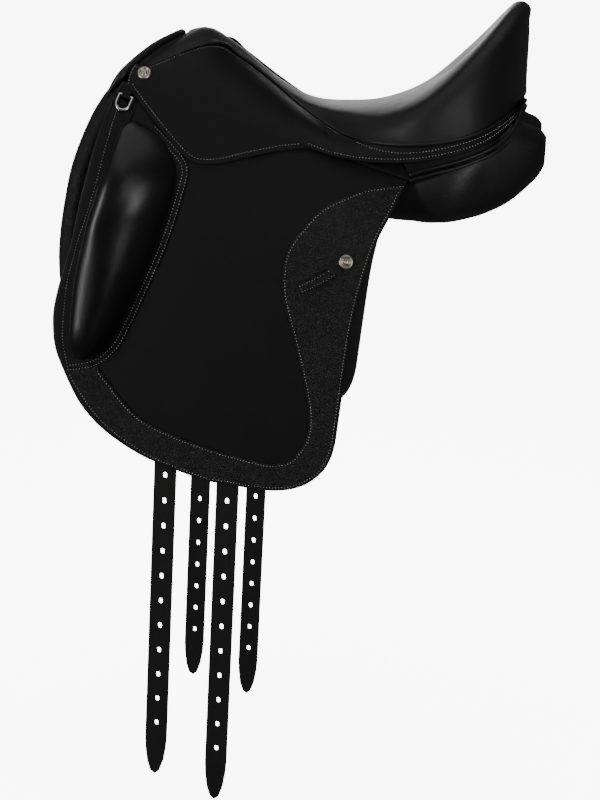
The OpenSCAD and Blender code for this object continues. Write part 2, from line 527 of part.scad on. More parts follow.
module billet_rear_left() color("#1b1a1a") left() billet(REAR, rear_y, -634);
module billet_rear_right() color("#1b1a1a") billet(REAR, rear_y, -634);

tree();
head_plate();
tree_springs();
stirrup_bar_left();
stirrup_bar_right();
bar_rivets();
seat_web();
seat_foam();
seat_cover();
seat_welt();
skirt_left();
skirt_right();
skirt_nails();
flap_hanger_left();
flap_hanger_right();
panel_left();
panel_right();
panel_piping();
gullet_lining();
rear_facing();
pommel_roll();
sweat_flap_left();
sweat_flap_right();
girth_web_left();
girth_web_right();
girth_rivets();
flap_left();
flap_right();
facing_left();
facing_right();
block_base_left();
block_base_right();
knee_block_left();
knee_block_right();
keeper_left();
keeper_right();
stud_left();
stud_right();
dee_tab_left();
dee_tab_right();
dee_left();
dee_right();
skirt_tip_left();
skirt_tip_right();
billet_front_left();
billet_front_right();
billet_rear_left();
billet_rear_right();
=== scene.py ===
"""Looks of a dressage saddle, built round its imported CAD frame."""

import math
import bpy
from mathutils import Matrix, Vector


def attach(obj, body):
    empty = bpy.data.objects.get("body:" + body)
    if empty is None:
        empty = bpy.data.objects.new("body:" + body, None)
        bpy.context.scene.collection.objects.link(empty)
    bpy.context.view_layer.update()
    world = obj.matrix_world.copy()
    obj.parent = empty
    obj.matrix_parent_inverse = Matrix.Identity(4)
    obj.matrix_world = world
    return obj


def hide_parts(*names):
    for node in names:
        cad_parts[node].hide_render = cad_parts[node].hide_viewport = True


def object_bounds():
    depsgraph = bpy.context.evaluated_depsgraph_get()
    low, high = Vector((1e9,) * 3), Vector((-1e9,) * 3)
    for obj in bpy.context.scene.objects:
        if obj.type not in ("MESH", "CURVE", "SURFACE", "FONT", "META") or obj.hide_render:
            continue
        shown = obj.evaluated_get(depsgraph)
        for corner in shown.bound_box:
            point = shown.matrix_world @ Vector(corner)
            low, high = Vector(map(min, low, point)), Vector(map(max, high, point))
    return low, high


bl_info = {
    "name": "Dressage saddle",
    "version": (1, 0, 0),
    "blender": (4, 5, 0),
    "location": "View3D > Sidebar > Saddle",
    "description": "Builds the leather, stitching and metal of a dressage saddle",
    "category": "Object",
}

import bmesh
import bpy
import numpy as np
from mathutils import Matrix, Vector, noise

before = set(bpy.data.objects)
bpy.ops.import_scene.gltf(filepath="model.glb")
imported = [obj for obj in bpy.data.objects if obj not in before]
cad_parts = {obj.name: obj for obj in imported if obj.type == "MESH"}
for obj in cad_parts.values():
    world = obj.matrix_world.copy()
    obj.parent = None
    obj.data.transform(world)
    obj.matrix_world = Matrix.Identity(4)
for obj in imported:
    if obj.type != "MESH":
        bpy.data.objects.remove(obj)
CAD_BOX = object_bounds()
MM = 0.001
SIDES = {"left": -1, "right": 1}
CURVE_STEPS = 400
SEAM_STEPS = 132
BLOCK_ROWS = 80
HALF_STEPS = [k / 40 for k in range(41)]


# Curves and guide lines, in millimetres on the right side of the saddle


def spline(p0, p1, p2, p3, t):
    """Point of a smooth curve between p1 and p2."""
    return 0.5 * (2 * p1 + (p2 - p0) * t + (2 * p0 - 5 * p1 + 4 * p2 - p3) * t * t
                  + (3 * p1 - p0 - 3 * p2 + p3) * t ** 3)


def along(points, u):
    """Point of the curve through points, u from 0 to 1."""
    p = np.asarray(points, float)
    n = len(p) - 1
    k = min(int(u * n), n - 1)
    return spline(p[max(k - 1, 0)], p[k], p[k + 1], p[min(k + 2, n)], u * n - k)


def sampled(points, count):
    """The curve through points as count points, evenly spaced along it."""
    fine = np.array([along(points, k / CURVE_STEPS) for k in range(CURVE_STEPS + 1)])
    run = np.concatenate([[0], np.cumsum(np.linalg.norm(np.diff(fine, axis=0), axis=1))])
    at = np.linspace(0, run[-1], count)
    return np.stack([np.interp(at, run, fine[:, c]) for c in range(fine.shape[1])], axis=1)


def ruled(a, b, count):
    """Rows of points from each point of a to its fellow in b."""
    return [[p + (q - p) * c for c in np.linspace(0, 1, count)] for p, q in zip(a, b)]


def inset(row, distance):
    """A side-view row moved to its left by a distance."""
    row = np.asarray(row, float)
    t = np.gradient(row, axis=0)
    t /= np.linalg.norm(t, axis=1)[:, None]
    return row + distance * np.stack([-t[:, 1], t[:, 0]], axis=1)


def unit(v):
    return np.asarray(v, float) / np.linalg.norm(v)


def smooth(t):
    """Eases from 0 to 1."""
    t = min(max(t, 0.0), 1.0)
    return t * t * (3 - 2 * t)


SPINE = np.array([
    [-150, 0, 178.5], [-142, 0, 179], [-128, 0, 175], [-97, 0, 155.5], [-60, 0, 128],
    [-20, 0, 107.5], [22, 0, 103], [66, 0, 110.5], [104, 0, 125], [134, 0, 143], [150, 0, 156],
    [156, 0, 162]], float)
RIM = np.array([
    [-161, 0, 175], [-160, 44, 167], [-132, 36, 168.5], [-98, 20, 152.5], [-60, 21, 126],
    [-20, 38, 105], [24, 76, 99], [70, 108, 102], [118, 126, 124], [168, 106, 173], [204, 58, 213],
    [216, 0, 227]], float)
SEAM = np.array([
    [-167, 0, 168], [-196, 98, 139], [-128, 52, 163.5], [-98, 32, 149.5], [-60, 33, 123.5],
    [-22, 56, 98.5], [26, 100, 77], [72, 136, 73], [124, 148, 77], [176, 134, 91], [211, 82, 112],
    [226, 0, 128]], float)
FRONT_S = 1 / 11
RIM_SHARE = 4 / 7
HUB = np.array([0, 0, -60.0])
CANTLE_ROLL = 3.0
ROLL_START, ROLL_EASE, ROLL_SHARE = 0.78, 0.2, 0.34
ROLL_INSIDE, ROLL_OUTSIDE = unit([-1.0, 0, 0.35]), unit([1.0, 0, 0.2])


def flip(p):
    """The same point on the other side of the saddle."""
    return np.array([p[0], -p[1], p[2]])


def mirrored(rows):
    """Rows of points up to the middle, and on to the other side."""
    return rows + [[flip(p) for p in row] for row in rows[-2::-1]]


def across(points, u):
    """Point of the curve through points, which goes on mirrored past its last one."""
    return along(np.vstack([points, flip(points[-2])]), u * (len(points) - 1) / len(points))


def sink(p, s, depth):
    """Moves a point of the seat inwards, towards a hub under the spine."""
    return p + depth * unit(along(SPINE, s) + HUB - p)


def seat_half(s, r, depth):
    """Point of the right half of the seat: s from pommel to cantle, r from spine to seam."""
    lines = (along(SPINE, s), across(RIM, s), across(SEAM, s))
    spine, rim, seam = (sink(p, s, depth) for p in lines)
    if r <= RIM_SHARE:
        p, t = spline(flip(rim), spine, rim, seam, r / RIM_SHARE), 1 - r / RIM_SHARE
    else:
        t = (r - RIM_SHARE) / (1 - RIM_SHARE)
        p = spline(spine, rim, seam, 2 * seam - rim, t)
    near_rim = math.sin(math.pi * min(t / ROLL_SHARE, 1)) ** 2
    crown = CANTLE_ROLL * smooth((s - ROLL_START) / ROLL_EASE) * near_rim
    return p + crown * (ROLL_INSIDE if r <= RIM_SHARE else ROLL_OUTSIDE)


def seat_point(loop, r, depth):
    """Point of the whole seat, loop from 0 round to 2."""
    loop = loop % 2
    return seat_half(loop, r, depth) if loop <= 1 else flip(seat_half(2 - loop, r, depth))


# The fold line that a flap lifts about, and the sheets that hang from it
FOLD_AT = np.array([-207.0, 121.0, 120.0])
FOLD_PITCH = math.radians(15.2)
FOLD_YAW = math.radians(5)
FLARE = 45.0
FLARE_DROP = 120.0
FOLD_SLOPE = FLARE / FLARE_DROP * math.pi / 2
# Thicknesses, ending in T, and depths of outer faces inside the skirt's, ending in O
SKIRT_T = 3.0
FLAP_T = 4.5
FACE_T = 1.5
FLAP_O = SKIRT_T + 0.5
FACE_O = FLAP_O - 0.3
BLOCK_O = FACE_O - 2.3
SWEAT_O = FLAP_O + FLAP_T + 16
WING_O = SWEAT_O + 2.8
# How far the flap's sheets stay under the fold line
FLAP_DROP = 0.5
FACE_DROP = 2


def fold_z(x):
    return FOLD_AT[2] - (x - FOLD_AT[0]) * math.tan(FOLD_PITCH) / math.cos(FOLD_YAW)


def fold_y(x):
    return FOLD_AT[1] + (x - FOLD_AT[0]) * math.tan(FOLD_YAW)


def bulge(d):
    """How far the side stands out, a drop d under the fold."""
    return FLARE * math.sin(math.pi / 2 * max(-0.5, min(d / FLARE_DROP, 1)))


def drop_of(x, z):
    return (fold_z(x) - z) * math.cos(FOLD_PITCH)


def on_side(x, z, depth):
    """Point at a place in side view, a depth inside the skirt's outer face."""
    return np.array([x, fold_y(x) + bulge(drop_of(x, z)) - depth, z])


def laid(row, depth):
    """A side-view row as points at a depth."""
    return [on_side(x, z, depth) for x, z in row]


# Lines in side view, as x and z
FLAP_FRONT = [
    [-216, 124], [-229, 92], [-239, 56], [-246, 23], [-253.5, -10], [-261, -50], [-268, -78],
    [-276, -108], [-280.5, -137], [-278, -170], [-267, -198], [-250, -230], [-231, -252],
    [-209, -269], [-184, -283], [-159, -293], [-105, -308], [-73, -311], [-47, -313]]
FLAP_BACK = [
    [-47, -313], [-27, -313], [-7, -310], [12, -302], [28, -288], [37, -273], [42, -254],
    [45, -221], [52, -137], [58, -94], [67, -53], [76, -23], [87, 1], [102, 38]]
GRAIN = [
    [97, 33], [80, 30], [56, 25], [38, 17], [20, 8], [6, -3], [-9, -22], [-18, -36], [-24, -52],
    [-25, -69], [-24, -89], [-19, -109], [-9, -140], [-1, -167], [6, -193], [11, -217], [12, -237],
    [9, -253], [0, -268], [-9, -277], [-29, -282], [-49, -280], [-85, -274], [-125, -264],
    [-166, -250], [-186, -237.5], [-201, -223], [-213, -208], [-222.5, -198], [-229, -188]]
EDGE = [
    [98, 31], [85, 1], [74, -23], [65, -53], [56, -94], [50, -137], [43, -221], [40, -254],
    [35, -272], [26.5, -287], [11, -300], [-7, -308], [-27, -311], [-47, -311], [-73, -309],
    [-105, -306], [-158, -291], [-182, -280], [-207, -265], [-228, -248], [-246, -226],
    [-256, -212], [-263, -199], [-265, -195]]
BLOCK_L = [
    [-200, 82], [-209, 76], [-214, 61], [-220, 40], [-227.5, 18], [-233.5, -4], [-240, -26],
    [-245, -49], [-250, -71], [-254, -94], [-256, -117], [-257.5, -139], [-258, -162], [-254, -175],
    [-246, -181.5]]
BLOCK_R = [
    [-197, 82], [-181, 75.5], [-165.5, 64], [-154, 49], [-148, 34], [-148.5, 13], [-157, -20],
    [-172, -65], [-190, -111], [-209, -152], [-223, -172.5], [-240, -182]]
BASE_L = [
    [-199, 85], [-213, 68], [-222, 29], [-232, -13], [-244, -60], [-252, -113], [-253, -160],
    [-246, -184]]
BASE_R = [
    [-180, 82], [-154, 60], [-136, 38], [-139, 8], [-152, -40], [-174, -97], [-200, -157],
    [-214, -176], [-229, -188]]
BORDER_L = [
    [-215, 106], [-227.5, 91], [-237.3, 56], [-244.3, 23], [-251.8, -10], [-259.3, -50],
    [-266.3, -78], [-274.3, -108], [-279, -137], [-276.5, -168], [-269, -189], [-264.5, -197]]
BORDER_R = [
    [-200, 92], [-207, 72], [-215, 42], [-229, 5], [-239, -30], [-247, -68], [-252, -100],
    [-254, -130], [-254, -160], [-248, -178], [-239, -186], [-228, -190]]
BORDER_SEAM = [
    [-218, 97], [-225.5, 61], [-234, 18], [-246.5, -27], [-253.5, -49], [-259, -72], [-264.5, -95],
    [-267, -117], [-268.5, -140], [-268.5, -163], [-265, -180], [-262.5, -192]]
TIP = [
    [-211, 121], [-205, 112], [-184, 90], [-165, 71], [-147, 54], [-134, 45], [-119, 42],
    [-100, 44], [-80, 49.5], [-59, 55], [-38, 60], [-22, 62.5], [-4, 63.4]]
# The skirt's lower edge: along the fold at these x, then free
FOLD_X = [-211, -194, -150, -98, -60, -24]
LOWER = [
    [24, 149, 58], [72, 153, 55], [124, 156, 61], [178, 144, 78], [214, 92, 103], [229, 0, 119]]
SKIRT_LOW = np.array([[x, fold_y(x), fold_z(x)] for x in FOLD_X] + LOWER, float)
SKIRT_FRONT = np.array([-207.0, 99.0, 140.0])
SKIRT_GAP = 0.6
# Sections of the panel cushion as y and z, at these x
PANEL_X = [-192, -150, -80, 0, 80, 150, 205, 238, 249]
PANEL = np.array([
    [[38, 104], [34, 88], [60, 40], [100, -6], [108, 12], [72, 78]],
    [[38, 102], [35, 84], [62, 34], [104, -14], [112, 4], [76, 72]],
    [[40, 86], [38, 62], [72, 18], [110, -20], [119, 4], [82, 58]],
    [[42, 66], [40, 36], [80, 2], [112, -20], [120, 6], [92, 48]],
    [[42, 56], [40, 20], [88, -10], [122, -6], [133, 24], [104, 50]],
    [[44, 64], [42, 28], [92, -10], [132, 0], [144, 46], [118, 65]],
    [[46, 90], [44, 46], [84, 9], [112, 22], [121, 76], [100, 99]],
    [[55, 86], [52, 64], [76, 36], [96, 50], [101, 81], [79, 94]],
    [[66, 77], [66, 62], [76, 53], [86, 60], [88, 77], [76, 85]]], float)
PANEL_MID = (88, 30)
# Edges of the panel wing in side view
WING_FRONT = [
    [-210, 116], [-227, 121], [-244, 98], [-257, 67], [-269, 27], [-276, -12], [-280, -46],
    [-281, -80], [-276, -120], [-262, -155], [-230, -190], [-180, -215], [-110, -225], [-40, -215]]
WING_BACK = [
    [-196, 92], [-120, 66], [-30, 30], [-8, 10], [-2, -40], [-4, -100], [-10, -170], [-40, -215]]
# Piping and facings of the panels, the pommel and the head arch
PIPING = [
    [104, 143, 36], [125, 145, 44], [157, 141, 54], [188, 132, 67.5], [206, 118, 80],
    [216, 101, 95.5], [221, 80, 110], [225, 40, 115]]
REAR_LOW = np.array([
    [104, 141, 38], [125, 143, 46], [157, 139, 56], [188, 130, 69.5], [206, 116, 82],
    [216, 99, 97.5], [221, 78, 111], [226, 0, 111]], float)
ROLL = [
    [-238, 106, 100], [-229, 107, 115], [-217, 106, 131], [-203, 78, 147], [-190, 48, 159],
    [-177, 24, 167], [-171, 0, 170.5]]
ROLL_TOP = [
    [-206, 111, 112], [-200, 100, 129], [-187, 80, 141], [-174, 48, 153], [-164, 24, 163],
    [-158, 0, 167]]
LINING = [[[-217, 100, 128], [-203, 78, 147], [-190, 48, 159], [-177, 24, 167], [-171, 0, 170.5]],
          [[-197, 98, 80], [-196, 86, 104], [-192, 60, 126], [-183, 28, 137.5], [-179, 0, 140]],
          [[-195, 90, 68], [-195, 74, 95], [-191, 51, 114], [-181, 24, 121], [-178, 0, 122.5]],
          [[-160, 90, 68], [-155, 74, 95], [-160, 51, 114], [-161, 24, 121], [-159, 0, 122.5]]]
# Section of a knee block, as shares of its width and height, with its crest and its least height
BLOCK_SHAPE = [
    [0, 0.0], [0.008, 0.5], [0.03, 0.82], [0.08, 0.94], [0.18, 1.0], [0.34, 0.97], [0.5, 0.86],
    [0.66, 0.68], [0.8, 0.46], [0.92, 0.22], [1.0, 0.0], [1.04, -0.15]]
BLOCK_CREST = 0.18
BLOCK_EDGE = 2.5
# Profile of a nail's head as radius and height, and the place of the keeper
NAIL = [
    (0, 2.4), (0.9, 2.5), (1.5, 3.2), (2.3, 3.3), (2.9, 2.6), (3.4, 1.4), (4.2, 1.2), (4.9, 1.9),
    (5.6, 2.6), (6.6, 2.5), (7.5, 1.9), (8.1, 0.9), (8.3, 0.1), (8.0, -0.2), (0, -0.2)]
KEEPER_AT = np.array([15.5, -70.5])
KEEPER_RUN, KEEPER_SIDE = unit([47, 29.5]), unit([-29.5, 47])
# The keeper's stitches: half the distance of its rows, their lift, its arch and its end rows
KEEPER_HALF, KEEPER_T, KEEPER_ARCH = 3.4, 2.2, 3.0
KEEPER_ENDS = (-22.5, 21.5)


def hermite(a, b, start, end, t):
    """Curve from a to b with the slopes start and end."""
    t2, t3 = t * t, t ** 3
    return ((2 * t3 - 3 * t2 + 1) * a + (t3 - 2 * t2 + t) * start
            + (3 * t2 - 2 * t3) * b + (t3 - t2) * end)


def seam_edge(s):
    p = across(SEAM, s)
    return p + SKIRT_GAP * unit(along(SKIRT_LOW, s) - p)


def skirt_top(s):
    """Upper edge of the skirt: a straight front corner, then the seat's seam."""
    if s < FRONT_S:
        return SKIRT_FRONT + (seam_edge(FRONT_S) - SKIRT_FRONT) * s / FRONT_S
    return seam_edge(s)


def skirt_point(s, q, depth):
    """Point of the fixed skirt, q from the seam down to the fold or the lower edge."""
    a, b = skirt_top(s), along(SKIRT_LOW, s)
    span = np.linalg.norm(b - a)
    start = span * unit(b - a + [0, 0.25 * span, 0.5 * span])
    end = span * unit([0, FOLD_SLOPE, -1])
    inwards = unit([0, -a[1] - 10, -80])
    return hermite(a, b, start, end, q) + depth * inwards


def skirt_inset(s, distance):
    """Point on the skirt a distance from its seam, or from its lower edge if negative."""
    span = np.linalg.norm(along(SKIRT_LOW, s) - skirt_top(s))
    q = distance / span
    return skirt_point(s, q if q > 0 else 1 + q, 0)


def panel_point(station, a):
    """Point of one closed section of the panel, a from corner to corner."""
    p = PANEL[station]
    i = int(a)
    y, z = spline(*(p[(i + k) % len(p)] for k in (-1, 0, 1, 2)), a - i)
    return np.array([PANEL_X[station], y, z])


def cushion_point(u, a):
    return along([panel_point(k, a) for k in range(len(PANEL_X))], u)


# Meshes


def new_object(name, verts, faces, material, side):
    """A mesh object from millimetre points; side -1 mirrors it to the left."""
    v = np.array(verts, float) * MM
    if side < 0:
        v[:, 1] *= -1
        faces = [tuple(reversed(f)) for f in faces]
    mesh = bpy.data.meshes.new(name)
    mesh.from_pydata(v.tolist(), [], [tuple(int(i) for i in f) for f in faces])
    mesh.validate()
    mesh.materials.append(bpy.data.materials[material])
    for polygon in mesh.polygons:
        polygon.use_smooth = True
    obj = bpy.data.objects.new(name, mesh)
    bpy.context.scene.collection.objects.link(obj)
    return obj


def grid_faces(m, n, start=0, turned=False):
    faces = []
    for i in range(m - 1):
        for j in range(n - 1):
            a = start + i * n + j
            f = (a, a + n, a + n + 1, a + 1)
            faces.append(f[::-1] if turned else f)
    return faces


def sheet_solid(outer, inner):
    """Closed solid between two grids; rows by columns is outward on the outer one."""
    outer, inner = np.array(outer, float), np.array(inner, float)
    m, n = outer.shape[:2]
    o = m * n
    faces = grid_faces(m, n) + grid_faces(m, n, o, turned=True)
    rim = [i * n for i in range(m)] + [(m - 1) * n + j for j in range(1, n)]
    rim += [i * n + n - 1 for i in range(m - 2, -1, -1)] + [j for j in range(n - 2, 0, -1)]
    for a, b in zip(rim, rim[1:] + rim[:1]):
        faces.append((b, a, a + o, b + o))
    return np.concatenate([outer.reshape(-1, 3), inner.reshape(-1, 3)]), faces


def backed(outer, offset):
    """Closed solid from a grid and the same grid moved by an offset."""
    return sheet_solid(outer, [[p + offset for p in row] for row in outer])


def side_sheet(grid, depth, thickness, drop):
    """Sheet over a side-view grid: its outer face at a depth, its top a drop under the fold."""
    outer = [[on_side(x, min(z, fold_z(x) - drop), depth) for x, z in row] for row in grid]
    return backed(outer, [0, -thickness, 0])


def ring_faces(m, sides):
    """Faces of a tube of m rings, with its two ends."""
    faces = []
    for i in range(m - 1):
        a, b = i * sides, (i + 1) * sides
        for k in range(sides):
            l = (k + 1) % sides
            faces.append((a + k, a + l, b + l, b + k))
    end = (m - 1) * sides
    return faces + [tuple(range(sides - 1, -1, -1)), tuple(range(end, end + sides))]


def tube(path, radius, sides):
    """Closed round tube along points; radius is a number or one for each point."""
    path = np.array(path, float)
    m = len(path)
    radii = np.broadcast_to(np.asarray(radius, float), (m,))
    verts = []
    last = None
    for i in range(m):
        d = unit(path[min(i + 1, m - 1)] - path[max(i - 1, 0)])
        a = np.cross(d, [0.3, 0.2, 1.0]) if last is None else last - d * (last @ d)
        last = a = unit(a)
        b = np.cross(d, a)
        for k in range(sides):
            t = 2 * math.pi * k / sides
            verts.append(path[i] + radii[i] * (math.cos(t) * a + math.sin(t) * b))
    return verts, ring_faces(m, sides)


def turned(profile, at, axis, steps=40):
    """Solid of revolution: profile of (radius, height) from the axis back to it."""
    axis = unit(axis)
    a = unit(np.cross(axis, [0.9, 0.1, 0.3]))
    b = np.cross(axis, a)
    verts, faces = [], []
    n = len(profile)
    for k in range(steps):
        t = 2 * math.pi * k / steps
        for r, h in profile:
            verts.append(np.asarray(at) + axis * h + r * (math.cos(t) * a + math.sin(t) * b))
    for k in range(steps):
        l = (k + 1) % steps
        for j in range(n - 1):
            faces.append((k * n + j, l * n + j, l * n + j + 1, k * n + j + 1))
    return verts, faces


WELD = 0.00002
SHARP = math.radians(40)
BEVEL_STEPS = 3
FOLD_REACH, FOLD_END_X, FOLD_WIDTH = 0.6, 20, 4


def welded(obj):
    """Merges doubled points and turns the faces outwards."""
    work = bmesh.new()
    work.from_mesh(obj.data)
    bmesh.ops.remove_doubles(work, verts=work.verts, dist=WELD)
    bmesh.ops.recalc_face_normals(work, faces=work.faces)
    work.to_mesh(obj.data)
    work.free()
    return obj


def on_fold(p):
    """Whether a point in millimetres lies on the fold line."""
    level = drop_of(p.x, p.z) < FOLD_REACH and p.x < FOLD_END_X
    return level and abs(abs(p.y) - fold_y(p.x)) < FOLD_WIDTH


def bevelled(obj, width):
    """Rounds the sharp edges, but for those along the fold line."""
    work = bmesh.new()
    work.from_mesh(obj.data)
    weight = work.edges.layers.float.new("bevel_weight_edge")
    for edge in work.edges:
        folded = all(on_fold(v.co / MM) for v in edge.verts)
        sharp = edge.is_manifold and edge.calc_face_angle() > SHARP
        edge[weight] = 1.0 if sharp and not folded else 0.0
        edge.smooth = not (sharp and folded)
    work.to_mesh(obj.data)
    work.free()
    bevel = obj.modifiers.new("Edge", "BEVEL")
    bevel.width = width * MM
    bevel.segments = BEVEL_STEPS
    bevel.limit_method = "WEIGHT"


def settle(obj, body, nodes):
    """Rides on a body and stands for its CAD nodes."""
    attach(obj, body)
    if nodes:
        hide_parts(*nodes)
    return obj


def made(name, solid, material, side, body, nodes, bevel=0):
    """A piece from the points and faces of its solid, with its edges rounded to a width."""
    obj = welded(new_object(name, *solid, material, side))
    if bevel:
        bevelled(obj, bevel)
    return settle(obj, body, nodes)


def paint(node, material):
    """Gives a CAD node that stays in view its finish."""
    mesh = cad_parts[node].data
    mesh.materials.clear()
    mesh.materials.append(bpy.data.materials[material])


# Shader nodes

MIX_FACTOR, MIX_A, MIX_B, MIX_RESULT = 0, 6, 7, 2


def put(tree, place, value):
    """Links a socket to a place, or sets a plain value there."""
    if isinstance(value, Sock):
        tree.links.new(value.socket, place)
    else:
        place.default_value = value


class Sock:
    """A shader socket that takes part in Python sums and products."""

    def __init__(self, tree, socket):
        self.tree = tree
        self.socket = socket

    def _math(self, operation, other):
        node = self.tree.nodes.new("ShaderNodeMath")
        node.operation = operation
        put(self.tree, node.inputs[0], self)
        put(self.tree, node.inputs[1], other)
        return Sock(self.tree, node.outputs[0])

    def __add__(self, other):
        return self._math("ADD", other)

    def __mul__(self, other):
        return self._math("MULTIPLY", other)

    __radd__ = __add__
    __rmul__ = __mul__


class Finish:
    """A new material with helpers that add its nodes."""

    def __init__(self, name):
        material = bpy.data.materials.new(name)
        material.use_nodes = True
        self.tree = material.node_tree
        self.shader = next(n for n in self.tree.nodes if n.type == "BSDF_PRINCIPLED")

    def node(self, kind, settings=None, out=0, **sockets):
        node = self.tree.nodes.new(kind)
        for key, value in (settings or {}).items():
            setattr(node, key, value)
        for key, value in sockets.items():
            put(self.tree, node.inputs[key.replace("_", " ")], value)
        return Sock(self.tree, node.outputs[out])

    def set(self, **sockets):
        for key, value in sockets.items():
            put(self.tree, self.shader.inputs[key.replace("_", " ")], value)

    def place(self, scale=(1, 1, 1)):
        coords = self.node("ShaderNodeTexCoord", out=3)
        return self.node("ShaderNodeMapping", Vector=coords, Scale=scale)

    def noise(self, scale, detail, stretch=(1, 1, 1)):
        place = self.place(stretch)
        return self.node("ShaderNodeTexNoise", Vector=place, Scale=scale, Detail=detail)

    def cells(self, scale):
        feature = {"feature": "DISTANCE_TO_EDGE"}
        return self.node("ShaderNodeTexVoronoi", feature, Vector=self.place(), Scale=scale)

    def sheen(self, roughness, scale, spread):
        """Roughness that varies by a spread."""
        self.set(Roughness=self.noise(scale, 2.0) * spread + (roughness - spread / 2))

    def bump(self, height, strength, distance):
        self.set(Normal=self.node(
            "ShaderNodeBump", Height=height, Strength=strength, Distance=distance))

    def mix(self, factor, a, b):
        node = self.tree.nodes.new("ShaderNodeMix")
        node.data_type = "RGBA"
        for place, value in ((MIX_FACTOR, factor), (MIX_A, a), (MIX_B, b)):
            put(self.tree, node.inputs[place], value)
        return Sock(self.tree, node.outputs[MIX_RESULT])


# Scales of the noise in the leathers and metals, and how much each changes
CLOUDS, CLOUD_SHARE = 22.0, 1.6
LEATHER_SHEEN, METAL_SHEEN = (60.0, 0.16), (120.0, 0.14)
CREASES, CREASE_STRETCH = 38.0, (1, 1, 0.35)
PEBBLE_CONTRAST = 2.2
COAT_ROUGHNESS = 0.3


def rgba(colour, share=1):
    """A colour with alpha, times a share."""
    return (*(c * share for c in colour), 1.0)


def leather(name, colour, share, roughness, grain, depth, specular,
            coat=0.0, creases=0.0, pebbles=0.0):
    """Black leather in a share of a colour: a fine grain of cells over soft unevenness."""
    f = Finish(name)
    colour = [c * share for c in colour]
    base = f.mix(f.noise(CLOUDS, 3.0), rgba(colour), rgba(colour, CLOUD_SHARE))
    if pebbles:
        base = f.mix(f.cells(grain) * PEBBLE_CONTRAST, base, rgba(colour, 1 + pebbles))
    f.set(Base_Color=base)
    f.sheen(roughness, *LEATHER_SHEEN)
    f.set(Specular_IOR_Level=specular, Coat_Weight=coat, Coat_Roughness=COAT_ROUGHNESS)
    height = f.cells(grain) + f.noise(grain * 0.5, 2.0) * 0.5
    if creases:
        height = height + f.noise(CREASES, 3.0, CREASE_STRETCH) * creases
    f.bump(height, 0.5, depth)


def metal(name, colour, roughness):
    f = Finish(name)
    f.set(Base_Color=rgba(colour), Metallic=1.0)
    f.sheen(roughness, *METAL_SHEEN)


def plain(name, colour, roughness, scale, depth):
    """Dull material with uneven colour."""
    f = Finish(name)
    f.set(Base_Color=f.mix(f.noise(scale, 3.0), rgba(colour), rgba(colour, 0.7)))
    f.set(Roughness=roughness)
    f.bump(f.noise(scale * 3, 3.0), 0.4, depth)


def woven(name, colour):
    """Canvas web: two crossed sets of threads."""
    f = Finish(name)
    warp, weft = (f.node("ShaderNodeTexWave", {"bands_direction": axis}, out=1,
                         Vector=f.place(), Scale=180.0) for axis in "XZ")
    f.set(Base_Color=f.mix(warp * weft, rgba(colour), rgba(colour, 0.6)), Roughness=0.9)
    f.bump(warp + weft, 0.5, 0.0004)


def wood(name, colour):
    f = Finish(name)
    veins = f.noise(30.0, 4.0, (0.15, 1, 1))
    f.set(Base_Color=f.mix(veins, rgba(colour), rgba(colour, 0.5)), Roughness=0.55)


def length_prop(name, description, default):
    return bpy.props.FloatProperty(
        name=name, description=description, default=default, unit="LENGTH")


def colour_prop(name, description, default):
    return bpy.props.FloatVectorProperty(
        name=name, description=description, default=default, subtype="COLOR", size=3, min=0, max=1)


class SaddleSizes(bpy.types.PropertyGroup):
    """Sizes of the trim."""

    stitch_pitch: length_prop("Stitch pitch", "Distance between stitches", 0.0034)
    stitch_length: length_prop("Stitch length", "Length of one stitch", 0.0009)
    stitch_width: length_prop("Stitch width", "Thickness of the thread", 0.0009)
    stitch_margin: length_prop("Stitch margin", "Distance of a stitch row from the edge", 0.0048)
    block_height: length_prop("Knee block height", "Height of the knee block over the flap", 0.040)
    welt_radius: length_prop("Welt radius", "Radius of the seat piping", 0.0018)
    wrinkle: length_prop("Wrinkle depth", "Depth of the soft panel wrinkles", 0.0012)


class SaddleColours(bpy.types.PropertyGroup):
    """Colours of the leathers, thread and metal."""

    smooth: colour_prop("Smooth leather", "Seat, skirts and flap centre", (0.0055, 0.0048, 0.0048))
    grained: colour_prop("Grained leather", "Facing, panels and keepers", (0.0065, 0.0057, 0.0056))
    strap: colour_prop("Strap leather", "Girth straps", (0.0070, 0.0064, 0.0062))
    thread: colour_prop("Thread", "Stitching", (0.60, 0.58, 0.55))
    silver: colour_prop("Antique silver", "Nails and studs", (0.42, 0.38, 0.32))


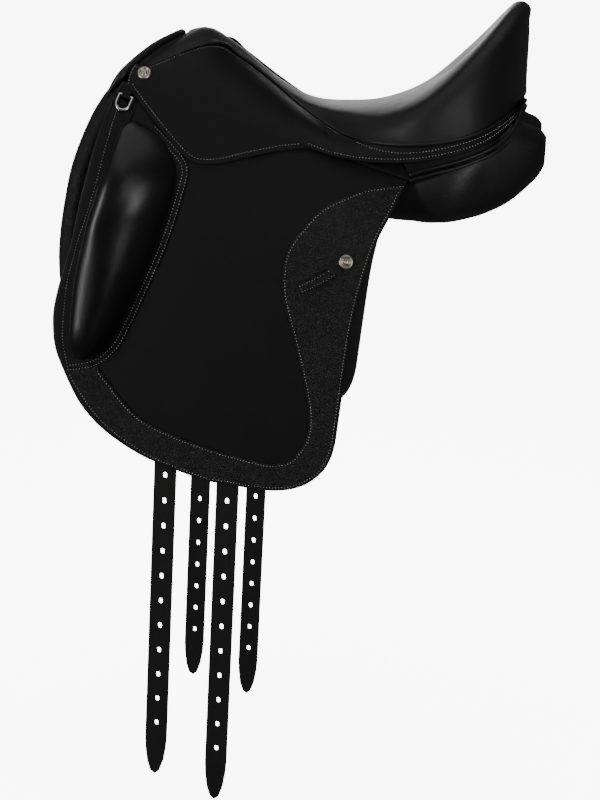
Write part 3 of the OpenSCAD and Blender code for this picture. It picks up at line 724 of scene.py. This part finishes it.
class SADDLE_OT_finishes(bpy.types.Operator):
    """Make the leathers, thread and metals"""

    bl_idname = "saddle.finishes"
    bl_label = "Finishes"

    def execute(self, context):
        c = context.scene.saddle_colours
        leather("seat_leather", c.smooth, 1, 0.50, 900.0, 0.00010, 0.38)
        leather("smooth_leather", c.smooth, 0.7, 0.55, 800.0, 0.00012, 0.20)
        leather("block_leather", c.smooth, 0.5, 0.32, 700.0, 0.00010, 0.34, coat=0.12)
        leather("grained_leather", c.grained, 0.35, 0.46, 460.0, 0.0045, 0.24, pebbles=5.0)
        leather("wing_leather", c.grained, 0.7, 0.52, 460.0, 0.0020, 0.24, pebbles=3.0)
        leather("panel_leather", c.grained, 1, 0.44, 600.0, 0.00022, 0.36, creases=2.2)
        leather("strap_leather", c.strap, 1, 0.58, 700.0, 0.00014, 0.26)
        # Piping, welts and cords: the smooth leather's colour times 1.3, lighter than the seat.
        # That extra lightness is a painted highlight along these ridges; their lower roughness and
        # higher specular are real gloss
        leather("edge_leather", c.smooth, 1.3, 0.45, 700.0, 0.00010, 0.34)
        metal("antique_silver", c.silver, 0.34)
        metal("chrome", (0.62, 0.63, 0.64), 0.14)
        metal("steel", (0.40, 0.41, 0.43), 0.38)
        metal("copper", (0.55, 0.34, 0.18), 0.35)
        plain("foam", (0.55, 0.43, 0.20), 0.9, 300.0, 0.0006)
        woven("canvas", (0.42, 0.34, 0.22))
        wood("tree_ply", (0.024, 0.016, 0.011))
        thread = Finish("thread")
        thread.set(Base_Color=rgba(c.thread), Roughness=0.55)
        ground = Finish("ground")
        ground.set(Base_Color=(0.86, 0.86, 0.86, 1), Roughness=0.9, Specular_IOR_Level=0.1)
        ground.set(Emission_Color=(1, 1, 1, 1), Emission_Strength=8.0)
        return {"FINISHED"}


class SADDLE_OT_inside(bpy.types.Operator):
    """Finish the hidden CAD pieces: tree, web, foam, steel and rivets"""

    bl_idname = "saddle.inside"
    bl_label = "Inner pieces"

    def execute(self, context):
        finishes = {
            "tree_ply": ["tree"],
            "steel": ["head_plate", "tree_springs", "bar_rivets", "stirrup_bar_left",
                      "stirrup_bar_right"],
            "canvas": ["seat_web", "girth_web_left", "girth_web_right"],
            "foam": ["seat_foam"],
            "copper": ["girth_rivets"],
            "panel_leather": ["gullet_lining"],
            "grained_leather": ["sweat_flap_left", "sweat_flap_right"],
            "smooth_leather": ["flap_hanger_left", "flap_hanger_right"],
        }
        for material, nodes in finishes.items():
            for node in nodes:
                paint(node, material)
        return {"FINISHED"}


# Seat: depths of the leather and of the foam, and the share of the half width that foam fills
COVER_DEPTHS, FOAM_DEPTHS, FOAM_REACH = (0, 2.5), (3.0, 24.6), 0.96
SEAT_LOOPS, SEAT_RAYS = 176, 40


class SADDLE_OT_seat(bpy.types.Operator):
    """Make the seat leather over its foam"""

    bl_idname = "saddle.seat"
    bl_label = "Seat"

    def execute(self, context):
        cover = made("seat_leather", self.cushion(*COVER_DEPTHS, 1.0), "seat_leather", 1, "frame",
                     ["seat_cover"])
        made("seat_foam", self.cushion(*FOAM_DEPTHS, FOAM_REACH), "foam", 1, "frame",
             ["seat_foam"])
        return {"FINISHED"}

    def cushion(self, top, bottom, reach):
        """Closed layer of the seat between two depths, out to a share of its half width."""
        loops, rays = SEAT_LOOPS, SEAT_RAYS
        half = loops // 2

        def layer(depth):
            spine = [seat_half(i / half, 0, depth) for i in range(half + 1)]
            return spine + [seat_point(2 * i / loops, reach * j / rays, depth)
                            for i in range(loops) for j in range(1, rays + 1)]

        def at(i, j):
            k = i % loops
            return min(k, loops - k) if j == 0 else half + 1 + k * rays + j - 1

        verts = layer(top)
        size = len(verts)
        verts += layer(bottom)
        faces = []
        for i in range(loops):
            for j in range(rays):
                f = [at(i, j), at(i, j + 1), at(i + 1, j + 1), at(i + 1, j)]
                f = [v for k, v in enumerate(f) if v not in f[:k]]
                if len(f) > 2:
                    faces.append(f[::-1])
                    faces.append([v + size for v in f])
            a, b = at(i, rays), at(i + 1, rays)
            faces.append([a, b, b + size, a + size])
        return verts, faces


# Skirts: rows and columns, what the sheet is thinner by than its room, and its edges' round
SKIRT_ROWS, SKIRT_COLS, SKIRT_THIN, SKIRT_ROUND = 127, 15, 0.2, 1.0
# Tip of the skirt: rows, columns and how far its top stays under the fold
TIP_ROWS, TIP_COLS, TIP_DROP = 60, 12, 0.1
# Piping of the seat: its steps along the seam, and how it sits in it
WELT_STEPS, WELT_TUCK, WELT_RISE = range(18, 121), 0.5, 1.7


class SADDLE_OT_skirts(bpy.types.Operator):
    """Make the skirts, their lifting tips and the seat piping"""

    bl_idname = "saddle.skirts"
    bl_label = "Skirts"

    def execute(self, context):
        radius = context.scene.saddle_sizes.welt_radius / MM
        for name, side in SIDES.items():
            self.skirt(name, side)
            self.tip(name, side)
            self.welt(name, side, radius)
        return {"FINISHED"}

    def skirt(self, name, side):
        rows = [k / SEAM_STEPS for k in range(SKIRT_ROWS)]
        cols = [k / (SKIRT_COLS - 1) for k in range(SKIRT_COLS)]
        outer = [[skirt_point(s, q, 0) for q in cols] for s in rows]
        inner = [[skirt_point(s, q, SKIRT_T - SKIRT_THIN) for q in cols] for s in rows]
        piece = "skirt_" + name
        made(piece, sheet_solid(outer, inner), "smooth_leather", side, "frame", [piece],
             SKIRT_ROUND)

    def tip(self, name, side):
        edge = sampled(TIP, TIP_ROWS)
        xs = np.linspace(edge[0][0], edge[-1][0], TIP_ROWS)
        top = [np.array([x, fold_z(x) - TIP_DROP]) for x in xs]
        outer = [laid(row, 0) for row in ruled(top, edge, TIP_COLS)]
        piece = "skirt_tip_" + name
        made(piece, backed(outer, [0, SKIRT_THIN - SKIRT_T, 0]), "smooth_leather", side, piece,
             [piece], SKIRT_ROUND)

    def welt(self, name, side, radius):
        path = []
        for k in WELT_STEPS:
            s = k / SEAM_STEPS
            p = seat_half(s, 1, 0)
            d = unit(along(SKIRT_LOW, s) - p)
            path.append(p - WELT_TUCK * d + WELT_RISE * unit(p - along(SPINE, s) - HUB))
        nodes = ["seat_welt"] if side < 0 else ()
        made("seat_welt_" + name, tube(path, radius, 10), "edge_leather", side, "frame", nodes)


# Flaps: rows, columns and the round of the edges
FLAP_ROWS, FLAP_COLS, FLAP_ROUND = 90, 30, 1.4
FACING_ROWS, FACING_COLS, FACING_ROUND = 120, 9, 0.9
# The flap's head: its two ends in x, its top and bottom over the fold, thickness and depth
HEAD_ENDS, HEAD_H, HEAD_LIFT, HEAD_T, HEAD_DEPTH = (10, 104), 22, 0.2, 3, FLAP_O + 0.1
# How far a sheet sinks into the one that it is sewn on
SUNK = 0.2


class SADDLE_OT_flaps(bpy.types.Operator):
    """Make the flaps with their grained facing"""

    bl_idname = "saddle.flaps"
    bl_label = "Flaps"

    def execute(self, context):
        for name, side in SIDES.items():
            self.flap(name, side)
            self.head(name, side)
            self.facing(name, side)
        return {"FINISHED"}

    def flap(self, name, side):
        piece = "flap_" + name
        front, back = sampled(FLAP_FRONT, FLAP_ROWS), sampled(FLAP_BACK[::-1], FLAP_ROWS)
        grid = ruled(front, back, FLAP_COLS)
        solid = side_sheet([row[::-1] for row in grid], FLAP_O, FLAP_T, FLAP_DROP)
        made(piece, solid, "smooth_leather", side, piece, [piece], FLAP_ROUND)

    def head(self, name, side):
        """The part of the flap above its fold, under the skirt."""
        lifts = np.linspace(HEAD_H, HEAD_LIFT, 8)
        outer = [[on_side(x, fold_z(x) + lift, HEAD_DEPTH) for lift in lifts]
                 for x in np.linspace(*HEAD_ENDS, 36)]
        made("flap_head_" + name, backed(outer, [0, -HEAD_T, 0]), "smooth_leather", side, "frame",
             ())

    def facing(self, name, side):
        grid = ruled(sampled(EDGE, FACING_ROWS), sampled(GRAIN, FACING_ROWS), FACING_COLS)
        solid = side_sheet(grid, FACE_O - FACE_T, FACE_T + SUNK, FACE_DROP)
        piece = "facing_" + name
        made(piece, solid, "grained_leather", side, "flap_" + name, [piece],
             FACING_ROUND)


# Knee block: shares of its length where its height rises, slopes off and ends, and the slope
RISE_SHARE, SLOPE_FROM, SLOPE_SHARE, END_FROM, END_SHARE = 0.4, 0.35, 0.6, 0.82, 0.18
SLOPE_LOSS = 0.25
# How far the crest goes back, and over which shares of the length
CREST_BACK, CREST_FROM, CREST_SHARE = 1.1, 0.4, 0.3
# Radius of the block's seam, then thickness, columns and edges' round of its base and border
BLOCK_SEAM_R = 0.9
BASE_T, BORDER_T, BASE_COLS, BASE_ROUND = 2.0, 1.5, 10, 0.7
# Cord on the flap's front edge: points, radius, inset, depth, and the points that it thins over
CORD_POINTS, CORD_R, CORD_INSET, CORD_DEPTH, CORD_TAPER = 120, 1.5, 1.1, FLAP_O + 0.6, 30


class SADDLE_OT_knee_blocks(bpy.types.Operator):
    """Make the knee blocks on their stitched bases, and the flap's front border"""

    bl_idname = "saddle.knee_blocks"
    bl_label = "Knee blocks"

    def execute(self, context):
        height = context.scene.saddle_sizes.block_height / MM
        for name, side in SIDES.items():
            self.block(name, side, height)
            self.cord(name, side)
            for piece, left, right, thick in (("block_base_", BASE_L, BASE_R, BASE_T),
                                              ("flap_border_", BORDER_L, BORDER_R, BORDER_T)):
                grid = ruled(sampled(left, BLOCK_ROWS), sampled(right, BLOCK_ROWS), BASE_COLS)
                solid = side_sheet(grid, FACE_O - thick, thick + SUNK, FACE_DROP)
                nodes = [piece + name] if piece == "block_base_" else ()
                made(piece + name, solid, "smooth_leather", side, "flap_" + name, nodes,
                     BASE_ROUND)
        return {"FINISHED"}

    def crest_height(self, u, height):
        """Height over the flap, u from the block's top to its bottom."""
        rise = math.sin(math.pi / 2 * min(u / RISE_SHARE, 1)) ** 0.7
        fall = math.sqrt(max(0, 1 - max(0, (u - END_FROM) / END_SHARE) ** 2))
        fall *= 1 - SLOPE_LOSS * smooth((u - SLOPE_FROM) / SLOPE_SHARE)
        return BLOCK_EDGE + (height - BLOCK_EDGE) * rise * fall

    def section(self, u):
        """Shares of width and height across the block; its crest lies further back lower down."""
        crest = BLOCK_CREST * (1 + CREST_BACK * smooth((u - CREST_FROM) / CREST_SHARE))
        row = []
        for c, v in (along(BLOCK_SHAPE, k) for k in np.linspace(0, 1, 40)):
            if c < BLOCK_CREST:
                c *= crest / BLOCK_CREST
            else:
                c = crest + (c - BLOCK_CREST) * (1 - crest) / (1 - BLOCK_CREST)
            row.append((min(max(c, 0), 1), max(v, 0)))
        return row

    def block(self, name, side, height):
        outer, inner = [], []
        sides = zip(sampled(BLOCK_L, BLOCK_ROWS), sampled(BLOCK_R, BLOCK_ROWS))
        for k, (a, b) in enumerate(sides):
            u = k / (BLOCK_ROWS - 1)
            h, row = self.crest_height(u, height), self.section(u)
            outer.append([on_side(*(a + (b - a) * c), BLOCK_O - h * v) for c, v in row])
            inner.append([on_side(*(a + (b - a) * c), BLOCK_O + SUNK) for c, v in row])
        piece = "knee_block_" + name
        obj = made(piece, sheet_solid(outer, inner), "block_leather", side, "flap_" + name, [piece])
        seam = [row[4] for row in outer[3:-3]]
        made("block_seam_" + name, tube(seam, BLOCK_SEAM_R, 8), "block_leather", side,
             "flap_" + name, ())

    def cord(self, name, side):
        """Cord along the flap's front edge, thinner at its lower end."""
        path = [on_side(x, min(z, fold_z(x) - FACE_DROP), CORD_DEPTH)
                for x, z in inset(sampled(FLAP_FRONT[:11], CORD_POINTS), CORD_INSET)]
        radii = [CORD_R * min(1, 0.2 + (CORD_POINTS - 1 - k) / CORD_TAPER)
                 for k in range(CORD_POINTS)]
        made("flap_cord_" + name, tube(path, radii, 10), "edge_leather", side, "flap_" + name, ())


# Panels: rows and points round the cushion
CUSHION_ROWS, CUSHION_RING = 130, 72
# Scales of the soft folds: of the cushion along x, y and z, and of the wing along x and z
CUSHION_FOLDS, WING_FOLDS = (0.05, 0.02, 0.02), (0.03, 0.09)
# Wing: rows, half thicknesses, width of its round edge, and how far it stays under the fold
WING_ROWS, WING_OUT, WING_IN, WING_EDGE, WING_DROP = 110, 4, 3, 13, 8
# The wing's roll: width, height, where it ends behind the edge, and over how much it eases off
WING_ROLL_W, WING_ROLL_H, WING_ROLL_END, WING_ROLL_EASE = 26, 5, 40, 14
# The roll ends above this row, and eases off over so many
WING_ROLL_ROWS, WING_ROLL_FADE = 80, 16
# Piping on the panels: radius, and where each cord lies
PIPING_R = 2.2
PIPING_CORDS = (("outer", [0, 0, 0]), ("inner", [-0.8, -0.6, 6.0]))
# Facing under the cantle: steps on each side, reach along the seam, depth of its top edge under
# the seat, thickness and swell, and the x that its back faces
REAR_STEPS, REAR_REACH, REAR_DEPTH = 60, 7.4 / 22, 2.7
REAR_T, REAR_SWELL, REAR_HUB_X = 2, 1.5, 120
# Pommel: radius of the roll and the points that it thins over, rise and backs of its sheets
ROLL_R, ROLL_TAPER, POMMEL_RISE = 5, 14, 2
POMMEL_BACK, LINING_BACK = [0.8, 0, -1.8], [1.2, 0, 1.0]


class SADDLE_OT_panels(bpy.types.Operator):
    """Make the stuffed panels with their wings and piping, and the facings at both ends"""

    bl_idname = "saddle.panels"
    bl_label = "Panels"

    def execute(self, context):
        depth = context.scene.saddle_sizes.wrinkle / MM
        for name, side in SIDES.items():
            self.cushion(name, side, depth)
            self.wing(name, side, depth)
            self.piping(name, side)
        self.rear_facing()
        self.pommel()
        self.head_lining()
        return {"FINISHED"}

    def cushion(self, name, side, depth):
        rows, ring = CUSHION_ROWS, CUSHION_RING
        verts = []
        for i in range(rows + 1):
            for j in range(ring):
                p = cushion_point(i / rows, PANEL.shape[1] * j / ring)
                outwards = unit([0, p[1] - PANEL_MID[0], p[2] - PANEL_MID[1]])
                fold = noise.noise(Vector(p * CUSHION_FOLDS))
                verts.append(p + outwards * depth * fold)
        solid = verts, ring_faces(rows + 1, ring)
        piece = "panel_" + name
        obj = made(piece, solid, "panel_leather", side, "frame", [piece])

    def wing(self, name, side, depth):
        """Side wing with a round front edge and a padded roll behind it."""
        front, back = sampled(WING_FRONT, WING_ROWS), sampled(WING_BACK, WING_ROWS)
        cols = np.concatenate([np.linspace(0, 0.16, 12), np.linspace(0.2, 1, 14)])
        middle = WING_O + WING_OUT
        outer, inner = [], []
        for k, (f, b) in enumerate(zip(front, back)):
            span = max(np.linalg.norm(b - f), 1)
            upper = smooth((WING_ROLL_ROWS - k) / WING_ROLL_FADE)
            outer.append([])
            inner.append([])
            for c in cols:
                x, z = f + (b - f) * c
                d = c * span
                crown = math.sqrt(max(0, 1 - (1 - min(d / WING_EDGE, 1)) ** 2))
                roll = math.sin(math.pi * min(d / WING_ROLL_W, 1))
                roll *= smooth((WING_ROLL_END - d) / WING_ROLL_EASE)
                swell = WING_ROLL_H * roll * upper
                wave = noise.noise(Vector((x * WING_FOLDS[0], z * WING_FOLDS[1], 0.3)))
                fold = wave * depth * crown
                z = min(z, fold_z(x) - WING_DROP)
                outer[-1].append(on_side(x, z, middle - WING_OUT * crown - swell - fold))
                inner[-1].append(on_side(x, z, middle + WING_IN * crown))
        obj = made("panel_wing_" + name, sheet_solid(outer, inner), "wing_leather", side, "frame",
                   ["panel_" + name])

    def piping(self, name, side):
        for cord, lift in PIPING_CORDS:
            path = [along(PIPING, k / 60) + lift for k in range(61)]
            piece = "panel_piping_%s_%s" % (cord, name)
            nodes = ["panel_piping"] if (side, cord) == (-1, "outer") else ()
            made(piece, tube(path, PIPING_R, 12), "edge_leather", side, "frame", nodes)

    def rear_facing(self):
        outer, inner = [], []
        for k in range(-REAR_STEPS, REAR_STEPS + 1):
            u = 1 - abs(k) / REAR_STEPS
            a = seat_half(1 - REAR_REACH * (1 - u), 1, REAR_DEPTH)
            b = across(REAR_LOW, u)
            swell = REAR_SWELL * smooth(abs(k) / 12)
            row = [a + (b - a) * c + [0, swell * math.sin(math.pi * c), 0]
                   for c in np.linspace(0, 1, 9)]
            row = [flip(p) for p in row] if k < 0 else row
            outer.append(row)
            inner.append([p + REAR_T * unit(np.array([REAR_HUB_X, 0, p[2]]) - p) for p in row])
        made("rear_facing", sheet_solid(outer, inner), "smooth_leather", 1, "frame",
             ["rear_facing"], 0.6)

    def pommel(self):
        """Roll along the front edge, and the facing from it up to the seat."""
        rows = mirrored([[along(ROLL, u), along(ROLL_TOP, u)] for u in HALF_STEPS])
        path = [a for a, b in rows]
        last = len(path) - 1
        ends = [min(1, k / ROLL_TAPER, (last - k) / ROLL_TAPER) for k in range(last + 1)]
        radii = [ROLL_R * max(0.15, math.sin(math.pi / 2 * share)) for share in ends]
        made("pommel_roll", tube(path, radii, 16), "panel_leather", 1, "frame", ["pommel_roll"])
        outer = [[a + (b - a) * c + [0, 0, POMMEL_RISE * math.sin(math.pi * c)]
                  for c in np.linspace(0, 1, 7)] for a, b in rows]
        made("pommel_facing", backed(outer, POMMEL_BACK), "wing_leather", 1, "frame", ())

    def head_lining(self):
        rows = mirrored([[along(line, u) for line in LINING] for u in HALF_STEPS])
        outer = [[along(row, c) for c in np.linspace(0, 1, 25)] for row in rows]
        made("head_lining", backed(outer, LINING_BACK), "smooth_leather", 1, "frame", ())


# Nail on the skirt, as its place along and down it and its lift, and stud on the flap
NAIL_S, NAIL_Q, NAIL_LIFT, NAIL_AXIS = 0.094, 0.45, 0.5, [0, 0.80, 0.60]
STUD_AT, STUD_LIFT, STUD_AXIS = (43, -50), 1.9, [0, 1, 0.14]


class SADDLE_OT_metal(bpy.types.Operator):
    """Make the nails and studs, and finish the dees, their tabs and the keepers"""

    bl_idname = "saddle.metal"
    bl_label = "Metal parts"

    def execute(self, context):
        for name, side in SIDES.items():
            nail = turned(NAIL, skirt_point(NAIL_S, NAIL_Q, -NAIL_LIFT), NAIL_AXIS)
            made("skirt_nail_" + name, nail, "antique_silver", side, "frame",
                 ["skirt_nails"] if side < 0 else ())
            stud = turned(NAIL, on_side(*STUD_AT, FACE_O - STUD_LIFT), STUD_AXIS)
            made("stud_" + name, stud, "antique_silver", side, "flap_" + name, ["stud_" + name])
            paint("dee_" + name, "chrome")
            paint("dee_tab_" + name, "smooth_leather")
            paint("keeper_" + name, "grained_leather")
        return {"FINISHED"}


class SADDLE_OT_straps(bpy.types.Operator):
    """Finish the girth straps"""

    bl_idname = "saddle.straps"
    bl_label = "Girth straps"

    def execute(self, context):
        for name in SIDES:
            for place in ("front", "rear"):
                paint("billet_%s_%s" % (place, name), "strap_leather")
        return {"FINISHED"}


def stitch_tree():
    """Geometry nodes: one rounded stitch at every pitch along the edges of a mesh."""
    tree = bpy.data.node_groups.new("stitches", "GeometryNodeTree")
    for label, kind in (("Geometry", "NodeSocketGeometry"), ("Pitch", "NodeSocketFloat"),
                        ("Length", "NodeSocketFloat"), ("Width", "NodeSocketFloat"),
                        ("Material", "NodeSocketMaterial")):
        tree.interface.new_socket(label, in_out="INPUT", socket_type=kind)
    tree.interface.new_socket("Geometry", in_out="OUTPUT", socket_type="NodeSocketGeometry")

    def node(kind, **settings):
        new = tree.nodes.new(kind)
        for key, value in settings.items():
            setattr(new, key, value)
        return new

    group_in, group_out = node("NodeGroupInput"), node("NodeGroupOutput")
    curve = node("GeometryNodeMeshToCurve")
    spaced = node("GeometryNodeResampleCurve", mode="LENGTH")
    ball = node("GeometryNodeMeshUVSphere")
    for key, value in (("Segments", 6), ("Rings", 4), ("Radius", 0.5)):
        ball.inputs[key].default_value = value
    tangent = node("GeometryNodeInputTangent")
    turn = node("FunctionNodeAlignRotationToVector", axis="X")
    scale = node("ShaderNodeCombineXYZ")
    place = node("GeometryNodeInstanceOnPoints")
    real = node("GeometryNodeRealizeInstances")
    finish = node("GeometryNodeSetMaterial")
    for source, out, target, into in (
            (group_in, "Geometry", curve, "Mesh"), (curve, 0, spaced, "Curve"),
            (group_in, "Pitch", spaced, "Length"), (spaced, 0, place, "Points"),
            (ball, "Mesh", place, "Instance"), (tangent, 0, turn, "Vector"),
            (turn, 0, place, "Rotation"), (group_in, "Length", scale, "X"),
            (group_in, "Width", scale, "Y"), (group_in, "Width", scale, "Z"),
            (scale, 0, place, "Scale"), (place, 0, real, 0), (real, 0, finish, "Geometry"),
            (group_in, "Material", finish, "Material"), (finish, 0, group_out, 0)):
        tree.links.new(source.outputs[out], target.inputs[into])
    return tree


def stitched(name, rows, side, sizes):
    """Stitches along rows of millimetre points, as one plain mesh."""
    verts, edges = [], []
    for row in rows:
        start = len(verts)
        verts += [(p[0] * MM, side * p[1] * MM, p[2] * MM) for p in row]
        edges += [(k, k + 1) for k in range(start, len(verts) - 1)]
    mesh = bpy.data.meshes.new(name + "_rows")
    mesh.from_pydata(verts, edges, [])
    guide = bpy.data.objects.new(name + "_rows", mesh)
    bpy.context.scene.collection.objects.link(guide)
    tree = bpy.data.node_groups.get("stitches") or stitch_tree()
    modifier = guide.modifiers.new("Stitches", "NODES")
    modifier.node_group = tree
    values = {"Pitch": sizes.stitch_pitch, "Length": sizes.stitch_length,
              "Width": sizes.stitch_width, "Material": bpy.data.materials["thread"]}
    for item in tree.interface.items_tree:
        if item.in_out == "INPUT" and item.name in values:
            modifier[item.identifier] = values[item.name]
    depsgraph = bpy.context.evaluated_depsgraph_get()
    solid = guide.evaluated_get(depsgraph)
    result = bpy.data.meshes.new_from_object(solid, depsgraph=depsgraph)
    obj = bpy.data.objects.new(name, result)
    bpy.context.scene.collection.objects.link(obj)
    bpy.data.objects.remove(guide)
    return obj


# The stitches of the block's base run on past its lower end, through these points
BASE_TAIL = [[-247, -194], [-265, -197.5]]
# Stitches on the skirt: their ends as shares of its seam, and where the front corner's row lies
SEAM_ENDS, LOWER_ENDS, CORNER_S = (0.03, 0.955), (0.488, 0.955), 0.014


class SADDLE_OT_stitches(bpy.types.Operator):
    """Sew the rows of stitches along the seams"""

    bl_idname = "saddle.stitches"
    bl_label = "Stitches"

    def execute(self, context):
        sizes = context.scene.saddle_sizes
        margin = sizes.stitch_margin / MM
        for name, side in SIDES.items():
            obj = stitched("flap_stitches_" + name, self.flap_rows(margin), side, sizes)
            settle(obj, "flap_" + name, ())
            rows = [laid(inset(sampled(TIP, 160), margin)[3:-3], 0)]
            obj = stitched("tip_stitches_" + name, rows, side, sizes)
            settle(obj, "skirt_tip_" + name, ())
            obj = stitched("skirt_stitches_" + name, self.skirt_rows(margin), side, sizes)
            settle(obj, "frame", ())
        return {"FINISHED"}

    def flap_rows(self, margin):
        """Rows of the facing, the front border, the block's base and the keeper."""
        face = FACE_O - FACE_T
        base = sampled(BASE_R + BASE_TAIL, 200)
        rows = [laid(inset(sampled(GRAIN, 300), margin * 0.55)[:-3], face),
                laid(inset(sampled(EDGE, 300), -margin * 0.4)[4:-4], face),
                laid(sampled(BORDER_SEAM, 200), face),
                laid(inset(base, -1.0)[4:-2], FACE_O - BASE_T),
                laid(inset(base, -6.0)[8:-4], FACE_O - BASE_T)]
        top = face - KEEPER_T

        def keeper(t, c, lift=0.0):
            return on_side(*(KEEPER_AT + KEEPER_RUN * t + KEEPER_SIDE * c), top - lift)

        for c in (-KEEPER_HALF, KEEPER_HALF):
            rows.append([keeper(t, c, KEEPER_ARCH * smooth((16 - abs(t)) / 4))
                         for t in np.linspace(-23, 23, 40)])
        for t in KEEPER_ENDS:
            rows.append([keeper(t, c) for c in np.linspace(-KEEPER_HALF, KEEPER_HALF, 12)])
        return rows

    def skirt_rows(self, margin):
        """Rows along the seat's seam, the lower edge behind the flap and the front corner."""

        def distance(s):
            return margin * 1.3 + 5 * smooth((s - 0.13) / 0.06) * smooth((0.8 - s) / 0.2)

        return [[skirt_inset(s, distance(s)) for s in np.linspace(*SEAM_ENDS, 500)],
                [skirt_inset(s, -margin * 0.8) for s in np.linspace(*LOWER_ENDS, 300)],
                [skirt_point(CORNER_S, q, 0) for q in np.linspace(0.1, 1, 40)]]


FLOOR_R, COVE_R, WALL_H = 4500, 1500, 7000


class SADDLE_OT_stage(bpy.types.Operator):
    """Make the floor, the lights and the camera"""

    bl_idname = "saddle.stage"
    bl_label = "Stage"

    def light(self, name, at, target, size, power, tall=None):
        lamp = bpy.data.lights.new(name, "AREA")
        lamp.energy = power
        lamp.shape = "RECTANGLE"
        lamp.size = size
        lamp.size_y = tall or size
        obj = bpy.data.objects.new(name, lamp)
        obj.location = at
        aim = Vector(target) - Vector(at)
        obj.rotation_euler = aim.to_track_quat("-Z", "Y").to_euler()
        bpy.context.scene.collection.objects.link(obj)
        return obj

    def execute(self, context):
        self.floor_and_lights()
        self.camera()
        return {"FINISHED"}

    def floor_and_lights(self):
        floor_z = CAD_BOX[0][2] - 0.02
        profile = [(0, 0), (FLOOR_R, 0)]
        profile += [(FLOOR_R + COVE_R * math.sin(a), COVE_R - COVE_R * math.cos(a))
                    for a in np.linspace(0.1, math.pi / 2, 16)]
        profile.append((FLOOR_R + COVE_R, WALL_H))
        cove = turned(profile, np.array([0, 0, floor_z / MM]), [0, 0, 1], 96)
        floor = new_object("floor", *cove, "ground", 1)
        floor.visible_glossy = False
        floor.visible_diffuse = False
        self.light("top softbox", (-0.3, -0.3, 2.1), (0, 0, 0), 2.6, 17)
        self.light("seat rim", (-0.25, 2.0, 0.5), (0.05, 0, 0.12), 0.9, 8, tall=0.7)
        self.light("right softbox", (1.2, -1.85, -0.05), (-0.05, -0.12, -0.05), 0.35, 14,
                   tall=1.5)
        self.light("left strip", (-1.7, -1.45, 0.1), (-0.15, -0.15, 0.0), 0.2, 22, tall=1.6)
        self.light("front fill", (0.75, -2.45, 0.9), (0, -0.1, -0.1), 1.0, 7, tall=1.6)
        ground = bpy.data.collections.new("ground")
        ground.objects.link(floor)
        wash = self.light("floor wash", (0, 0, 2.6), (0, 0, -0.7), 3.0, 200)
        wash.light_linking.receiver_collection = ground
        world = bpy.data.worlds.new("studio")
        world.use_nodes = True
        background = world.node_tree.nodes["Background"]
        background.inputs["Color"].default_value = (0.95, 0.97, 1.0, 1)
        background.inputs["Strength"].default_value = 0.085
        bpy.context.scene.world = world

    def camera(self):
        centre = Vector((0.0, -0.170, -0.209))
        distance, focal_px, image_h = 2.090, 1900.0, 800.0
        az, el, roll = math.radians(4.5), math.radians(14.0), math.radians(3.0)
        back = Vector((math.sin(az) * math.cos(el), -math.cos(az) * math.cos(el), math.sin(el)))
        right = (-back).cross(Vector((0, 0, 1))).normalized()
        up = right.cross(-back)
        cos, sin = math.cos(roll), math.sin(roll)
        right, up = cos * right + sin * up, -sin * right + cos * up
        data = bpy.data.cameras.new("camera")
        data.sensor_width = 36.0
        data.lens = focal_px / image_h * data.sensor_width
        camera = bpy.data.objects.new("camera", data)
        frame = Matrix((right, up, back)).transposed().to_4x4()
        frame.translation = centre + back * distance
        camera.matrix_world = frame
        bpy.context.scene.collection.objects.link(camera)
        bpy.context.scene.camera = camera


class SADDLE_PT_panel(bpy.types.Panel):
    """Steps that build the saddle"""

    bl_idname = "SADDLE_PT_panel"
    bl_label = "Dressage saddle"
    bl_space_type = "VIEW_3D"
    bl_region_type = "UI"
    bl_category = "Saddle"

    def draw(self, context):
        for group in (context.scene.saddle_sizes, context.scene.saddle_colours):
            for key in group.__annotations__:
                self.layout.prop(group, key)
        for step in STEPS:
            self.layout.operator(step.bl_idname)


STEPS = (SADDLE_OT_finishes, SADDLE_OT_inside, SADDLE_OT_seat, SADDLE_OT_skirts, SADDLE_OT_flaps,
         SADDLE_OT_knee_blocks, SADDLE_OT_panels, SADDLE_OT_metal, SADDLE_OT_straps,
         SADDLE_OT_stitches, SADDLE_OT_stage)
CLASSES = (SaddleSizes, SaddleColours, *STEPS, SADDLE_PT_panel)


def register():
    for cls in CLASSES:
        bpy.utils.register_class(cls)
    bpy.types.Scene.saddle_sizes = bpy.props.PointerProperty(type=SaddleSizes)
    bpy.types.Scene.saddle_colours = bpy.props.PointerProperty(type=SaddleColours)


def unregister():
    del bpy.types.Scene.saddle_colours
    del bpy.types.Scene.saddle_sizes
    for cls in reversed(CLASSES):
        bpy.utils.unregister_class(cls)


def main():
    register()
    for step in STEPS:
        space, word = step.bl_idname.split(".")
        getattr(getattr(bpy.ops, space), word)()


if __name__ == "__main__":
    main()
